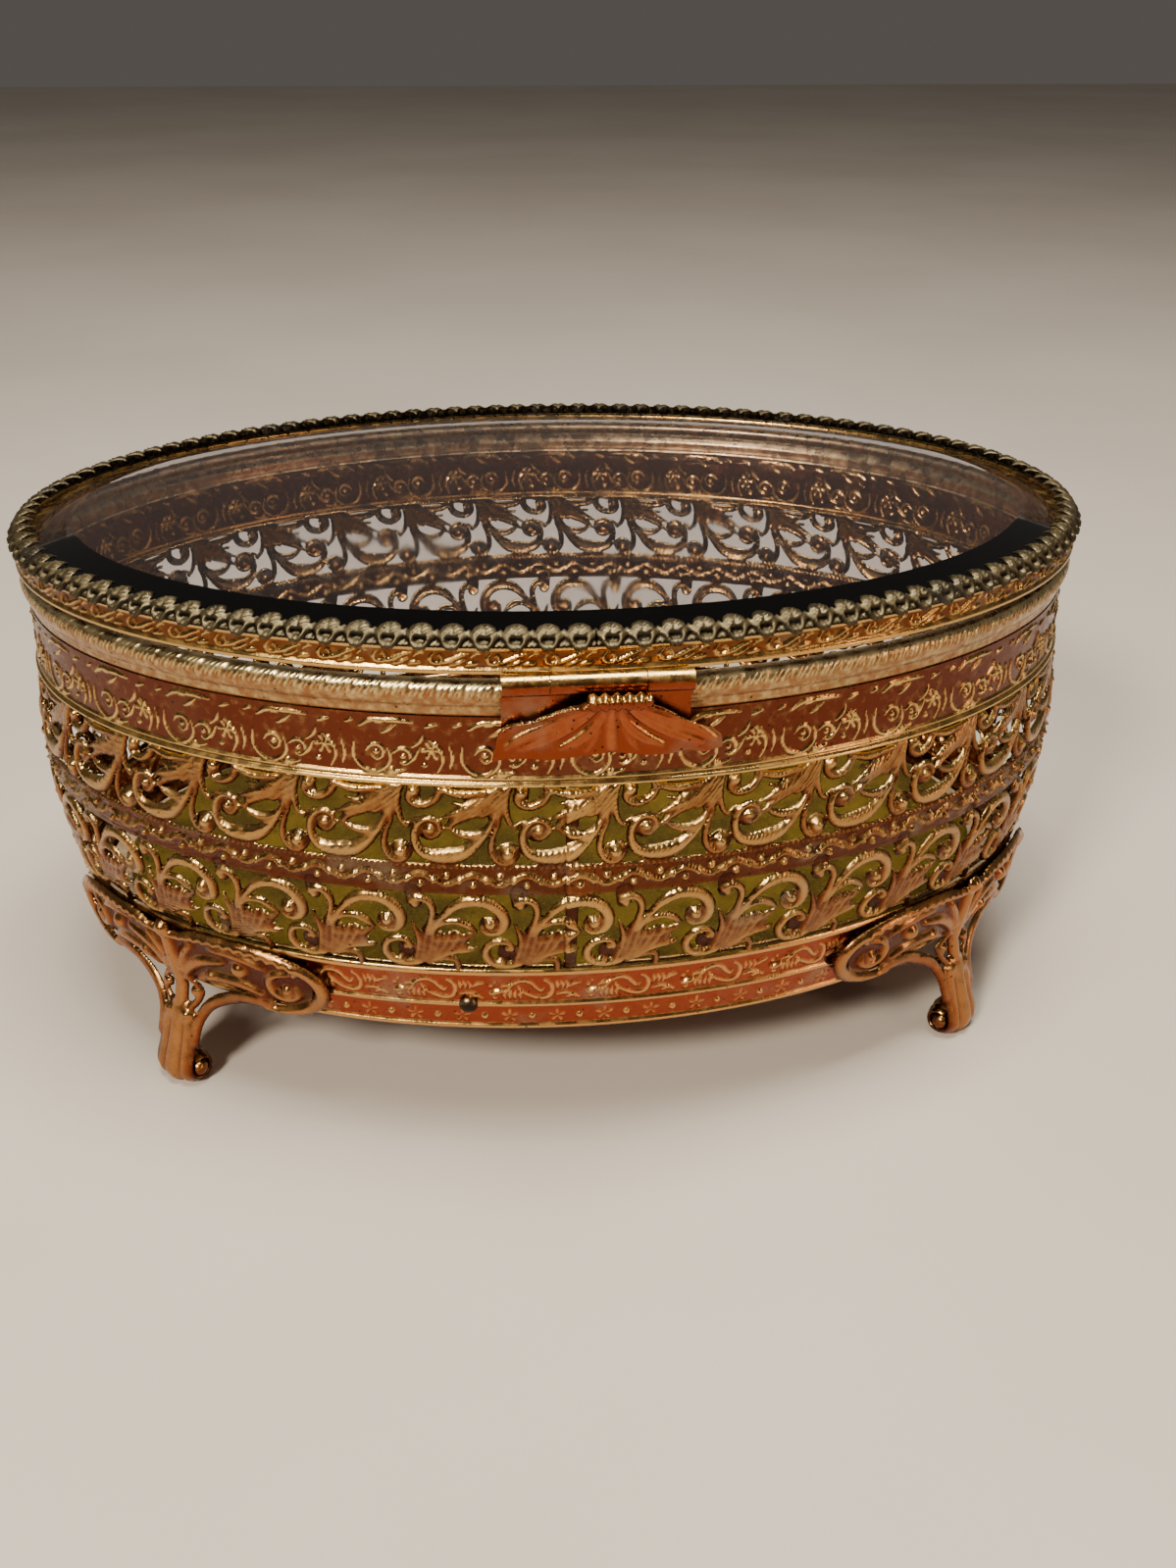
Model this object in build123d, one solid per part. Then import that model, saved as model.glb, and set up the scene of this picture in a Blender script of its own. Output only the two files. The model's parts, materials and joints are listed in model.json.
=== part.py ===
"""Oval gilt filigree casket with a bevelled-glass lid: a vanity trinket box, modelled piece by piece.

Frame: +Z up, X along the oval's long axis, the hinge at the back on +Y. The origin is the oval's centre on
the surface that the four feet stand on. Millimetres.
"""

import math
import os
from build123d import *

# ---- Driving dimensions -------------------------------------------------------------------------
LID_HALF_LENGTH = 90.0  # outer edge of the lid's bezel
LID_HALF_WIDTH = 65.5
BODY_INSET = 1.3  # how far the rim of the body stands inside the lid's edge
SHEET = 0.8  # pressed brass strip of the walls and bands
FLOOR_SHEET = 0.8
RUNNING_CLEARANCE = 0.05  # pin in knuckle, radially
SIDE_CLEARANCE = 0.15  # between neighbouring knuckles, and pieces that pass each other
SOLDER_GAP = 0.05  # between a soldered piece and the face that it lies on

# Heights, from the ground up
FOOT_HEIGHT = 18.5
BASE_BAND_HEIGHT = 12.5
FILIGREE_HEIGHT = 35.0
COLLAR_HEIGHT = 10.0
RIM_HEIGHT = 5.5
LID_GAP = 1.5  # at the hinge; the closed lid has settled until its front almost meets the rim
LID_FRONT_GAP = 0.15
LID_BAND_HEIGHT = 4.0
BEZEL_RISE = 2.2

# How the wall swells and tapers, as changes of half length and half width from the rim
BELLY = (1.0, 1.0)
BASE_TOP_TAPER = (-1.4, -4.1)
BASE_BOTTOM_TAPER = (-3.7, -6.5)
BELLY_SHARE = 0.6  # the belly's height, as a share of the filigree's

# Details of the walls
BEAD = 0.45  # raised edge lines, how far they stand proud
BEAD_HEIGHT = 0.9
BASE_LIP = 3.0  # inward lip that carries the floor
RIM_ROLL_HEIGHT = 3.2
RIM_ROLL_PROUD = 0.7
RIM_ROLL_THICKNESS = 2.6
OPENING_COUNT = 62  # in each pierced row, two to each repeat of the ornament
LOWER_ROW_HEIGHT = 16.0  # pierced rows of the filigree strip, measured from its two edges
UPPER_ROW_HEIGHT = 12.0
ROW_MARGIN = 1.6  # metal left above and below a row's openings
OPENING_WIDTH = 4.2

# Floor and lining
FLOOR_RIM_HEIGHT = 5.5
PAD_BOARD = 1.0
PAD_THICKNESS = 4.0
PAD_CLEARANCE = 0.35
PAD_TAIL_CLEARANCE = 0.95  # between the pad and the rivets' tails
PAD_ROUNDING = 0.4  # of its upper edge, as a share of its thickness
RIVET_RADIUS = 0.8
RIVET_HEAD_RADIUS = 1.5
RIVET_HEAD_HEIGHT = 1.0
RIVET_HEAD_STAND = 0.35  # the head's flat side, off the band's outside
RIVET_TAIL_RADIUS = 1.2
RIVET_TAIL_HEIGHT = 0.8
RIVET_TAIL_REACH = 1.5  # from the pan's rim to the far side of the tail
RIVET_RISE = 3.6  # above the floor
RIVET_OFFSET = 19.0  # from the middle of the back and of the front

# Lid
LID_BAND_INSET = 0.4
SEAT_WIDTH = 3.0
SEAT_THICKNESS = 0.6
SEAT_DROP = 1.7  # top of the glass seat below the top of the lid band
GLASS_THICKNESS = 3.4
GLASS_CLEARANCE = 0.3
GLASS_EDGE = 1.4  # what is left of the glass's edge under its bevel
GLASS_BEVEL_WIDTH = 8.0
BEZEL_WIDTH = 3.2
BEZEL_SHEET = 0.7
BEZEL_LEAF_SHEET = 1.2  # the leaning part, measured level

# Hinge, and the lid rest in front of it
HINGE_LENGTH = 26.5
KNUCKLE_RADIUS = 1.6
PIN_RADIUS = 0.75
MIDDLE_KNUCKLE_LENGTH = 13.2
HINGE_SHEET = 0.7
HINGE_LEAF_DROP = 6.6  # below the top of the rim
HINGE_LEAF_TOP_DROP = 0.5
LID_LEAF_RISE = 1.6  # the lid leaf's flange, above the bottom of the lid band
LID_LEAF_CLEARANCE = 0.35  # between that flange and the band
REST_TOP_WIDTH = 9.0
REST_BOTTOM_WIDTH = 31.0
REST_HEIGHT = 10.4
REST_SHEET = 0.8
REST_ROLL_RADIUS = 1.6
REST_ROLL_DROP = 1.1  # the roll's centre below the pin's
REST_ROLL_GAP = 0.5  # between the roll and the knuckle behind it
REST_LEAF_GAP = 0.35  # between the leaf's top and the knuckle above it
REST_NECK = 0.7  # thickness of the neck that passes under the knuckle
REST_OFFSET = -1.7  # the rest is soldered a little to one side of the hinge's middle

# Legs
LEG_ANGLE = 40.5  # degrees round the oval's centre circle, from the long axis
LEG_SHEET = 1.6
LEG_RISE = 14.5  # how far the bracket climbs above the foot height
LEG_HALF_SPAN = 29.0
TOE_SPREAD = 3.6  # the toes stand out this far beyond the bottom of the base band
TOE_WIDTH = 7.0
TOE_RADIUS = 2.1
TOE_FLAT = 0.25  # worn flat under each toe
TOE_TUCK = 0.2  # how far the toe's roll reaches in front of the leg
ANKLE_WIDTH = 8.0

# ---- Levels and half sizes that follow ----------------------------------------------------------
BASE_BOTTOM = FOOT_HEIGHT
BASE_TOP = BASE_BOTTOM + BASE_BAND_HEIGHT
FILIGREE_TOP = BASE_TOP + FILIGREE_HEIGHT
BELLY_LEVEL = BASE_TOP + BELLY_SHARE * FILIGREE_HEIGHT
COLLAR_TOP = FILIGREE_TOP + COLLAR_HEIGHT
RIM_TOP = COLLAR_TOP + RIM_HEIGHT
LID_BOTTOM = RIM_TOP + LID_GAP
LID_BAND_TOP = LID_BOTTOM + LID_BAND_HEIGHT
BEZEL_TOP = LID_BAND_TOP + BEZEL_RISE

LID_HALF = (LID_HALF_LENGTH, LID_HALF_WIDTH)


def grown(half, by):
    """Half length and half width, each made larger by a length or by a pair of lengths."""
    by_x, by_y = by if isinstance(by, tuple) else (by, by)
    return (half[0] + by_x, half[1] + by_y)


BODY_HALF = grown(LID_HALF, -BODY_INSET)
BELLY_HALF = grown(BODY_HALF, BELLY)
BASE_TOP_HALF = grown(BODY_HALF, BASE_TOP_TAPER)
BASE_BOTTOM_HALF = grown(BODY_HALF, BASE_BOTTOM_TAPER)
LID_BAND_HALF = grown(LID_HALF, -LID_BAND_INSET)

# The hinge pin stands just outside both the lid band and the rim's roll.
WALL_BACK = max(LID_HALF[1], BODY_HALF[1] + RIM_ROLL_PROUD)
PIN_Y = WALL_BACK + KNUCKLE_RADIUS + SIDE_CLEARANCE
PIN_RISE = 0.2  # the pin above the middle of the gap
PIN_Z = RIM_TOP + 0.5 * LID_GAP + PIN_RISE


# ---- Shapes that several pieces share -----------------------------------------------------------
def oval(half, level):
    """A flat oval face at a level."""
    return Pos(0, 0, level) * Ellipse(half[0], half[1])


def tapered(halves, levels, smooth=False):
    """A solid through ovals of the given half sizes at the given levels."""
    return loft([oval(half, level).face() for half, level in zip(halves, levels)], ruled=not smooth)


def shell(halves, levels, thickness, smooth=False):
    """An oval wall: its outside runs through the given ovals, and its inside stands a thickness in."""
    inner = [grown(half, -thickness) for half in halves]
    return tapered(halves, levels, smooth) - tapered(inner, levels, smooth)


def ring(half, thickness, bottom, top):
    """An upright oval strip."""
    return shell([half, half], [bottom, top], thickness)


def slab(half, bottom, top):
    """A flat oval plate."""
    return Pos(0, 0, bottom) * extrude(Ellipse(half[0], half[1]), top - bottom)


def settled(shape):
    """A lid piece as it lies when closed: turned about the pin until the lid's front almost meets the rim."""
    angle = math.degrees(math.asin((LID_GAP - LID_FRONT_GAP) / (PIN_Y + LID_HALF_WIDTH)))
    return Pos(0, PIN_Y, PIN_Z) * Rot(angle, 0, 0) * Pos(0, -PIN_Y, -PIN_Z) * shape


def back_block(width, y_low, y_high, bottom, top, centre=0.0):
    """A block at the back of the casket, between two depths and two heights."""
    size = Box(width, y_high - y_low, top - bottom)
    return Pos(centre, 0.5 * (y_low + y_high), 0.5 * (bottom + top)) * size


def rod_along_x(radius, length, y, z, centre=0.0):
    """A round rod that lies along X."""
    return Pos(centre, y, z) * Rot(0, 90, 0) * Cylinder(radius, length)


def base_half_at(level):
    """Half sizes of the base band's outside at a level, by straight line between its edges."""
    share = (level - BASE_BOTTOM) / BASE_BAND_HEIGHT
    return tuple(b + share * (t - b) for b, t in zip(BASE_BOTTOM_HALF, BASE_TOP_HALF))


# ---- Body walls ---------------------------------------------------------------------------------
def make_base_band():
    """The engraved band round the bottom, with an inward lip under the floor and two raised edges."""
    wall = shell([BASE_BOTTOM_HALF, BASE_TOP_HALF], [BASE_BOTTOM, BASE_TOP], SHEET)
    lip_half = grown(base_half_at(BASE_BOTTOM), -0.5 * SHEET)
    lip = ring(lip_half, BASE_LIP, BASE_BOTTOM, BASE_BOTTOM + SHEET)
    depth = BEAD + 0.5 * SHEET
    top_start = BASE_TOP - BEAD_HEIGHT
    bottom_line = ring(grown(BASE_BOTTOM_HALF, BEAD), depth, BASE_BOTTOM, BASE_BOTTOM + BEAD_HEIGHT)
    top_line = ring(grown(base_half_at(top_start), BEAD), depth, top_start, BASE_TOP)
    return wall + lip + bottom_line + top_line


def opening_row(low, high):
    """Upright rounded bars, one for each opening of a pierced row, pointing straight out of the wall."""
    edge = Edge.make_ellipse(BELLY_HALF[0], BELLY_HALF[1])
    middle = 0.5 * (low + high)
    sketch = SlotOverall(high - low, OPENING_WIDTH, rotation=90)
    reach = 4 * SHEET + max(BELLY_HALF[1] - BASE_TOP_HALF[1], 0.0)
    bars = []
    for turn in range(OPENING_COUNT):
        share = (turn + 0.5) / OPENING_COUNT
        point = edge.position_at(share)
        outward = edge.tangent_at(share).cross(Vector(0, 0, 1))
        sideways = outward.cross(Vector(0, 0, -1))
        face = Plane(origin=(point.X, point.Y, middle), x_dir=sideways, z_dir=outward)
        bars.append(extrude(face * sketch, reach, both=True))
    return bars


def make_filigree_wall():
    """The pierced, swelling strip: two rows of openings with a plain band between them."""
    halves = [BASE_TOP_HALF, BELLY_HALF, BODY_HALF]
    wall = shell(halves, [BASE_TOP, BELLY_LEVEL, FILIGREE_TOP], SHEET, smooth=True)
    lower = opening_row(BASE_TOP + ROW_MARGIN, BASE_TOP + LOWER_ROW_HEIGHT)
    upper = opening_row(FILIGREE_TOP - UPPER_ROW_HEIGHT, FILIGREE_TOP - ROW_MARGIN)
    return wall - lower - upper


def make_collar_band():
    """The engraved upright band above the filigree, with a raised line along its lower edge."""
    wall = ring(BODY_HALF, SHEET, FILIGREE_TOP, COLLAR_TOP)
    line = ring(grown(BODY_HALF, BEAD), BEAD + 0.5 * SHEET, FILIGREE_TOP, FILIGREE_TOP + BEAD_HEIGHT)
    return wall + line


def make_rim_bead():
    """The rim: an upright strip whose upper half is rolled over into a rounded bead."""
    strip = ring(BODY_HALF, SHEET, COLLAR_TOP, RIM_TOP - 0.5 * RIM_ROLL_HEIGHT)
    roll = ring(grown(BODY_HALF, RIM_ROLL_PROUD), RIM_ROLL_THICKNESS, RIM_TOP - RIM_ROLL_HEIGHT, RIM_TOP)
    round_edge = 0.45 * min(RIM_ROLL_THICKNESS, RIM_ROLL_HEIGHT)
    top_edges = roll.faces().sort_by(Axis.Z)[-1].edges()
    return strip + fillet(top_edges, round_edge)


# ---- Floor and lining ---------------------------------------------------------------------------
FLOOR_BOTTOM = BASE_BOTTOM + SHEET
FLOOR_TOP = FLOOR_BOTTOM + FLOOR_SHEET
RIVET_Z = FLOOR_TOP + RIVET_RISE


def make_floor_plate():
    """A shallow pan that drops into the base band and rests on its lip."""
    levels = [FLOOR_BOTTOM, FLOOR_BOTTOM + FLOOR_RIM_HEIGHT]
    outside = [grown(base_half_at(level), -SHEET - SOLDER_GAP) for level in levels]
    pan = tapered(outside, levels)
    hollow_levels = [FLOOR_TOP, levels[1] + 1.0]
    hollow = [grown(base_half_at(level), -SHEET - SOLDER_GAP - FLOOR_SHEET) for level in hollow_levels]
    return pan - tapered(hollow, hollow_levels)


def rivet_axis():
    """Where a rivet passes through the base band, and the level direction straight out of the band there."""
    half = base_half_at(RIVET_Z)
    y = half[1] * math.sqrt(1.0 - (RIVET_OFFSET / half[0]) ** 2)
    outward = Vector(RIVET_OFFSET / half[0] ** 2, y / half[1] ** 2, 0).normalized()
    return Vector(RIVET_OFFSET, y, RIVET_Z), outward


RIVET_DEPTH = SHEET + FLOOR_SHEET + SOLDER_GAP + RIVET_TAIL_REACH  # band, pan's rim and tail


def rivet_shank():
    """The shank, which is also the shape of its hole, through the band and the pan's rim."""
    point, outward = rivet_axis()
    reach = RIVET_DEPTH - 0.5 * RIVET_TAIL_HEIGHT
    start = Plane(origin=point - outward * reach, z_dir=outward)
    return extrude(start * Circle(RIVET_RADIUS), reach + 0.5 * RIVET_HEAD_HEIGHT)


def make_rivet():
    """One round-head rivet, with its tail upset inside the pan's rim."""
    point, outward = rivet_axis()
    width = 4 * RIVET_HEAD_RADIUS
    ball = scale(Sphere(RIVET_HEAD_RADIUS), (1, 1, RIVET_HEAD_HEIGHT / RIVET_HEAD_RADIUS))
    half_ball = ball & Pos(0, 0, 0.5 * width) * Box(width, width, width)
    dome = Plane(origin=point + outward * RIVET_HEAD_STAND, z_dir=outward) * half_ball
    tail_plane = Plane(origin=point - outward * RIVET_DEPTH, z_dir=outward)
    tail = extrude(tail_plane * Circle(RIVET_TAIL_RADIUS), RIVET_TAIL_HEIGHT)
    return dome + rivet_shank() + tail


def half_turned(shape):
    """The same shape on the other side of the casket, turned half round its centre."""
    return Rot(0, 0, 180) * shape


def make_pad_board():
    """The stiff card under the lining."""
    half = grown(base_half_at(FLOOR_TOP), -SHEET - FLOOR_SHEET - SOLDER_GAP - PAD_CLEARANCE)
    return slab(half, FLOOR_TOP, FLOOR_TOP + PAD_BOARD)


def make_lining_pad():
    """The padded cloth lining on the floor, a plain crowned solid; it clears the rivets' tails."""
    bottom = FLOOR_TOP + PAD_BOARD
    half = grown(base_half_at(FLOOR_TOP), -RIVET_DEPTH - PAD_TAIL_CLEARANCE)
    pad = slab(half, bottom, bottom + PAD_THICKNESS)
    return fillet(pad.faces().sort_by(Axis.Z)[-1].edges(), PAD_ROUNDING * PAD_THICKNESS)


# ---- Lid ----------------------------------------------------------------------------------------
SEAT_TOP = LID_BAND_TOP - SEAT_DROP
GLASS_HALF = grown(LID_BAND_HALF, -SHEET - GLASS_CLEARANCE)


def make_lid_band():
    """The lid's engraved band, with a raised line round its lower edge."""
    wall = ring(LID_BAND_HALF, SHEET, LID_BOTTOM, LID_BAND_TOP)
    line = ring(LID_HALF, LID_BAND_INSET + 0.5 * SHEET, LID_BOTTOM, LID_BOTTOM + BEAD_HEIGHT)
    return wall + line


def make_glass_seat_ring():
    """The flat ring soldered inside the lid band, on which the glass rests."""
    half = grown(LID_BAND_HALF, -SHEET)
    return ring(half, SEAT_WIDTH, SEAT_TOP - SEAT_THICKNESS, SEAT_TOP)


def make_lid_glass():
    """The oval plate of glass, with a wide bevel round its upper side."""
    edge = slab(GLASS_HALF, SEAT_TOP, SEAT_TOP + GLASS_EDGE)
    levels = [SEAT_TOP + GLASS_EDGE, SEAT_TOP + GLASS_THICKNESS]
    crown = tapered([GLASS_HALF, grown(GLASS_HALF, -GLASS_BEVEL_WIDTH)], levels)
    return edge + crown


def make_lid_bezel():
    """The gallery strip: it stands on the lid band and leans in over the edge of the glass."""
    foot = ring(LID_HALF, LID_BAND_INSET + SHEET, LID_BAND_TOP, LID_BAND_TOP + BEZEL_SHEET)
    levels = [LID_BAND_TOP + BEZEL_SHEET, BEZEL_TOP]
    outside = [LID_HALF, grown(LID_HALF, -BEZEL_WIDTH + BEZEL_SHEET)]
    return foot + shell(outside, levels, BEZEL_LEAF_SHEET)


# ---- Hinge --------------------------------------------------------------------------------------
PLATE_INNER = BODY_HALF[1] + RIM_ROLL_PROUD + SOLDER_GAP
PLATE_OUTER = PLATE_INNER + HINGE_SHEET
END_KNUCKLE_LENGTH = 0.5 * (HINGE_LENGTH - MIDDLE_KNUCKLE_LENGTH) - SIDE_CLEARANCE
END_KNUCKLE_CENTRE = 0.5 * (HINGE_LENGTH - END_KNUCKLE_LENGTH)
PLATE_TOP = RIM_TOP - HINGE_LEAF_TOP_DROP
WEB_TOP = PIN_Z - 0.6 * KNUCKLE_RADIUS  # of the webs that join the plate to the end knuckles


def pin_bore():
    """The hole along the hinge's knuckles."""
    return rod_along_x(PIN_RADIUS + RUNNING_CLEARANCE, HINGE_LENGTH + 2.0, PIN_Y, PIN_Z)


def make_hinge_body_leaf():
    """The leaf soldered over the rim: a plate, with an outer knuckle at each end."""
    bottom = RIM_TOP - HINGE_LEAF_DROP
    web_bottom = PLATE_TOP - HINGE_SHEET
    length = END_KNUCKLE_LENGTH
    leaf = back_block(HINGE_LENGTH, PLATE_INNER, PLATE_OUTER, bottom, PLATE_TOP)
    for centre in (-END_KNUCKLE_CENTRE, END_KNUCKLE_CENTRE):
        leaf += rod_along_x(KNUCKLE_RADIUS, length, PIN_Y, PIN_Z, centre)
        leaf += back_block(length, PLATE_INNER, PIN_Y, web_bottom, WEB_TOP, centre)
    return leaf - pin_bore()


def make_hinge_lid_leaf():
    """The lid's leaf: the middle knuckle, a web through the gap, and a flange inside the lid band."""
    length = MIDDLE_KNUCKLE_LENGTH
    knuckle = rod_along_x(KNUCKLE_RADIUS, length, PIN_Y, PIN_Z)
    outer = LID_BAND_HALF[1] - SHEET - LID_LEAF_CLEARANCE
    inner = outer - HINGE_SHEET
    web_top = LID_BOTTOM - SOLDER_GAP
    web_bottom = web_top - HINGE_SHEET
    web = back_block(length, inner, PIN_Y, web_bottom, web_top)
    flange = back_block(length, inner, outer, web_bottom, LID_BOTTOM + LID_LEAF_RISE)
    return knuckle + web + flange - pin_bore()


def make_hinge_pin():
    """The pin, flush with the ends of the barrel."""
    return rod_along_x(PIN_RADIUS, HINGE_LENGTH, PIN_Y, PIN_Z)


REST_INNER = PLATE_OUTER + SOLDER_GAP
REST_TOP = PIN_Z - KNUCKLE_RADIUS - REST_LEAF_GAP
REST_ROLL_Y = PIN_Y + KNUCKLE_RADIUS + REST_ROLL_GAP + REST_ROLL_RADIUS
REST_ROLL_Z = PIN_Z - REST_ROLL_DROP


def rest_outline():
    """The lid rest's leaf from behind: a narrow neck that flares into two tips, with a waved foot."""
    neck = REST_TOP_WIDTH
    foot = REST_BOTTOM_WIDTH
    side = [
        (0.5 * neck, 0.0),
        (0.72 * neck, 0.2),
        (0.3 * foot, 0.42),
        (0.47 * foot, 0.5),
        (0.5 * foot, 1.0),
        (0.28 * foot, 1.04),
    ]
    right = [(x, REST_TOP - drop * REST_HEIGHT) for x, drop in side]
    left = [(-x, z) for x, z in reversed(right)]
    middle = (0.0, REST_TOP - 0.94 * REST_HEIGHT)
    return make_face(Polyline(*right, middle, *left, close=True))


def make_lid_rest_leaf():
    """The leaf soldered to the hinge plate; its top passes under the knuckle and is rolled up in front of it.

    The roll is what the open lid comes down on.
    """
    front = Plane(origin=(REST_OFFSET, REST_INNER, 0), x_dir=(1, 0, 0), z_dir=(0, -1, 0))
    plate = extrude(front * rest_outline(), -REST_SHEET)
    roll = rod_along_x(REST_ROLL_RADIUS, REST_TOP_WIDTH, REST_ROLL_Y, REST_ROLL_Z, REST_OFFSET)
    neck_bottom = REST_TOP - REST_NECK
    neck = back_block(REST_TOP_WIDTH, REST_INNER, REST_ROLL_Y, neck_bottom, REST_TOP, REST_OFFSET)
    return plate + roll + neck


# ---- Legs ---------------------------------------------------------------------------------------
LEG_TOP = BASE_BOTTOM + LEG_RISE
CUT_REACH = 12.0  # how far in front of a leg's toe the cutting shape starts


def leg_shell():
    """The surface that all four legs are pressed to: it hugs the base band and flares out to the toes."""
    proud = BEAD + SOLDER_GAP
    levels = [0.0, 0.3 * FOOT_HEIGHT, BASE_BOTTOM, LEG_TOP]
    halves = [
        grown(BASE_BOTTOM_HALF, TOE_SPREAD + proud),
        grown(BASE_BOTTOM_HALF, 0.45 * TOE_SPREAD + proud),
        grown(BASE_BOTTOM_HALF, proud),
        grown(base_half_at(LEG_TOP), proud),
    ]
    return shell([grown(half, LEG_SHEET) for half in halves], levels, LEG_SHEET)


def leg_outline():
    """The leg seen from straight ahead: two wings along the band, two arches and a waisted ankle."""
    half_toe = 0.5 * TOE_WIDTH
    half_ankle = 0.5 * ANKLE_WIDTH
    wing_low = BASE_BOTTOM + 1.5
    side = [
        (0.0, LEG_TOP - 1.5),
        (0.18 * LEG_HALF_SPAN, LEG_TOP - 3.2),
        (0.45 * LEG_HALF_SPAN, LEG_TOP - 4.0),
        (LEG_HALF_SPAN, LEG_TOP - 4.5),
        (LEG_HALF_SPAN, wing_low + 4.5),
        (0.62 * LEG_HALF_SPAN, wing_low),
        (0.45 * LEG_HALF_SPAN, BASE_BOTTOM - 0.5),
        (0.27 * LEG_HALF_SPAN, BASE_BOTTOM - 4.5),
        (half_ankle, 0.45 * FOOT_HEIGHT),
        (half_toe, 0.0),
    ]
    mirrored = [(-x, z) for x, z in reversed(side[1:])]
    return make_face(Polyline(*side, *mirrored, close=True))


def leg_window(side):
    """The three-cornered opening between the ankle and a wing."""
    near = side * 0.3 * ANKLE_WIDTH
    far = side * 0.34 * LEG_HALF_SPAN
    top = BASE_BOTTOM - 0.6
    corners = Polyline((near, top), (far, top), (near, 0.55 * FOOT_HEIGHT), close=True)
    return make_face(corners)


def make_leg(bent_shell, angle):
    """One leg of pressed brass, cut from the bent shell, with a rolled toe under its ankle."""
    outward = Vector(math.cos(math.radians(angle)), math.sin(math.radians(angle)), 0)
    half = grown(BASE_BOTTOM_HALF, TOE_SPREAD + BEAD + SOLDER_GAP + LEG_SHEET)
    point = Vector(half[0] * outward.X, half[1] * outward.Y, 0)
    normal = Vector(point.X / half[0] ** 2, point.Y / half[1] ** 2, 0).normalized()
    sideways = Vector(-normal.Y, normal.X, 0)
    front = Plane(origin=point + normal * CUT_REACH, x_dir=sideways, z_dir=normal)
    face = leg_outline() - leg_window(1) - leg_window(-1)
    plate = bent_shell & extrude(front * face, -2.5 * CUT_REACH)
    toe_centre = point - normal * (TOE_RADIUS - TOE_TUCK) + Vector(0, 0, TOE_RADIUS - TOE_FLAT)
    toe_plane = Plane(origin=toe_centre, x_dir=normal, z_dir=sideways)
    toe = extrude(toe_plane * Circle(TOE_RADIUS), 0.5 * TOE_WIDTH, both=True)
    ground = slab(grown(half, CUT_REACH), -CUT_REACH, 0.0)
    return plate + (toe - ground)


LEGS = {
    "leg_back_right": LEG_ANGLE,
    "leg_back_left": 180.0 - LEG_ANGLE,
    "leg_front_left": 180.0 + LEG_ANGLE,
    "leg_front_right": 360.0 - LEG_ANGLE,
}


# ---- The casket ---------------------------------------------------------------------------------
def main():
    """Makes every piece and writes each to its own file."""
    rivets = [make_rivet(), half_turned(make_rivet())]
    holes = [rivet_shank(), half_turned(rivet_shank())]
    casket = {
        "base_band": make_base_band() - holes,
        "filigree_wall": make_filigree_wall(),
        "collar_band": make_collar_band(),
        "rim_bead": make_rim_bead(),
        "floor_plate": make_floor_plate() - holes,
        "floor_rivets": Compound(children=[rivet.solid() for rivet in rivets]),
        "pad_board": make_pad_board(),
        "lining_pad": make_lining_pad(),
        "hinge_body_leaf": make_hinge_body_leaf(),
        "hinge_pin": make_hinge_pin(),
        "lid_rest_leaf": make_lid_rest_leaf(),
    }
    bent_shell = leg_shell()
    for name, angle in LEGS.items():
        casket[name] = make_leg(bent_shell, angle)
    lid = {
        "lid_band": make_lid_band(),
        "glass_seat_ring": make_glass_seat_ring(),
        "lid_glass": make_lid_glass(),
        "lid_bezel": make_lid_bezel(),
        "hinge_lid_leaf": make_hinge_lid_leaf(),
    }
    closed_lid = {name: settled(piece) for name, piece in lid.items()}
    os.makedirs("parts", exist_ok=True)
    for name, shape in {**casket, **closed_lid}.items():
        export_step(shape, f"parts/{name}.step")
        print(name, f"{shape.volume:.1f} mm3")


main()
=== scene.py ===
"""Oval gilt filigree casket with a hinged lid of bevelled glass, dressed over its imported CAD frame.

All ornament is drawn in millimetres on an unrolled strip: s runs round the oval from the middle of the back,
z or v up the strip. Each drawing becomes a height field, is cut out along its outline and is bent round the
casket, so every opening and ridge is real geometry.
"""

import json
import logging
import math
from dataclasses import dataclass, field
from enum import Enum
from typing import Callable, Sequence

import bpy
import numpy as np
from mathutils import Matrix, Vector

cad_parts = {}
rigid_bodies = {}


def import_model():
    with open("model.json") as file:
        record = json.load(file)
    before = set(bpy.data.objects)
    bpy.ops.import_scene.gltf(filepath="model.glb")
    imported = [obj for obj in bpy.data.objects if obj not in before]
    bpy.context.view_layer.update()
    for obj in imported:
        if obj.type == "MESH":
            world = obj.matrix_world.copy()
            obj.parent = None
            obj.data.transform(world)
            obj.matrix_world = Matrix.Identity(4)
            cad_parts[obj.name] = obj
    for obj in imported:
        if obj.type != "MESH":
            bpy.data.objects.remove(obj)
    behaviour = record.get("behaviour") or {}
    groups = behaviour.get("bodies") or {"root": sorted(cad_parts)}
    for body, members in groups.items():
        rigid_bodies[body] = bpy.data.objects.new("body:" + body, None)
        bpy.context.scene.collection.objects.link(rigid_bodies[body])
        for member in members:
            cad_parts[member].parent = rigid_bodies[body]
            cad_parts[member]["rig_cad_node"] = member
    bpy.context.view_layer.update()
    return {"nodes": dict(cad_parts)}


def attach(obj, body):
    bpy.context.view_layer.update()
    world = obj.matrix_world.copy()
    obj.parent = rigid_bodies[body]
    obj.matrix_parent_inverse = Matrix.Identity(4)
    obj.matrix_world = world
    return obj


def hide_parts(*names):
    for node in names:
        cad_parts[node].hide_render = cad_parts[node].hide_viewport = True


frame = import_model()

MM = 0.001
SEED = 7
log = logging.getLogger("casket")

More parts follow.
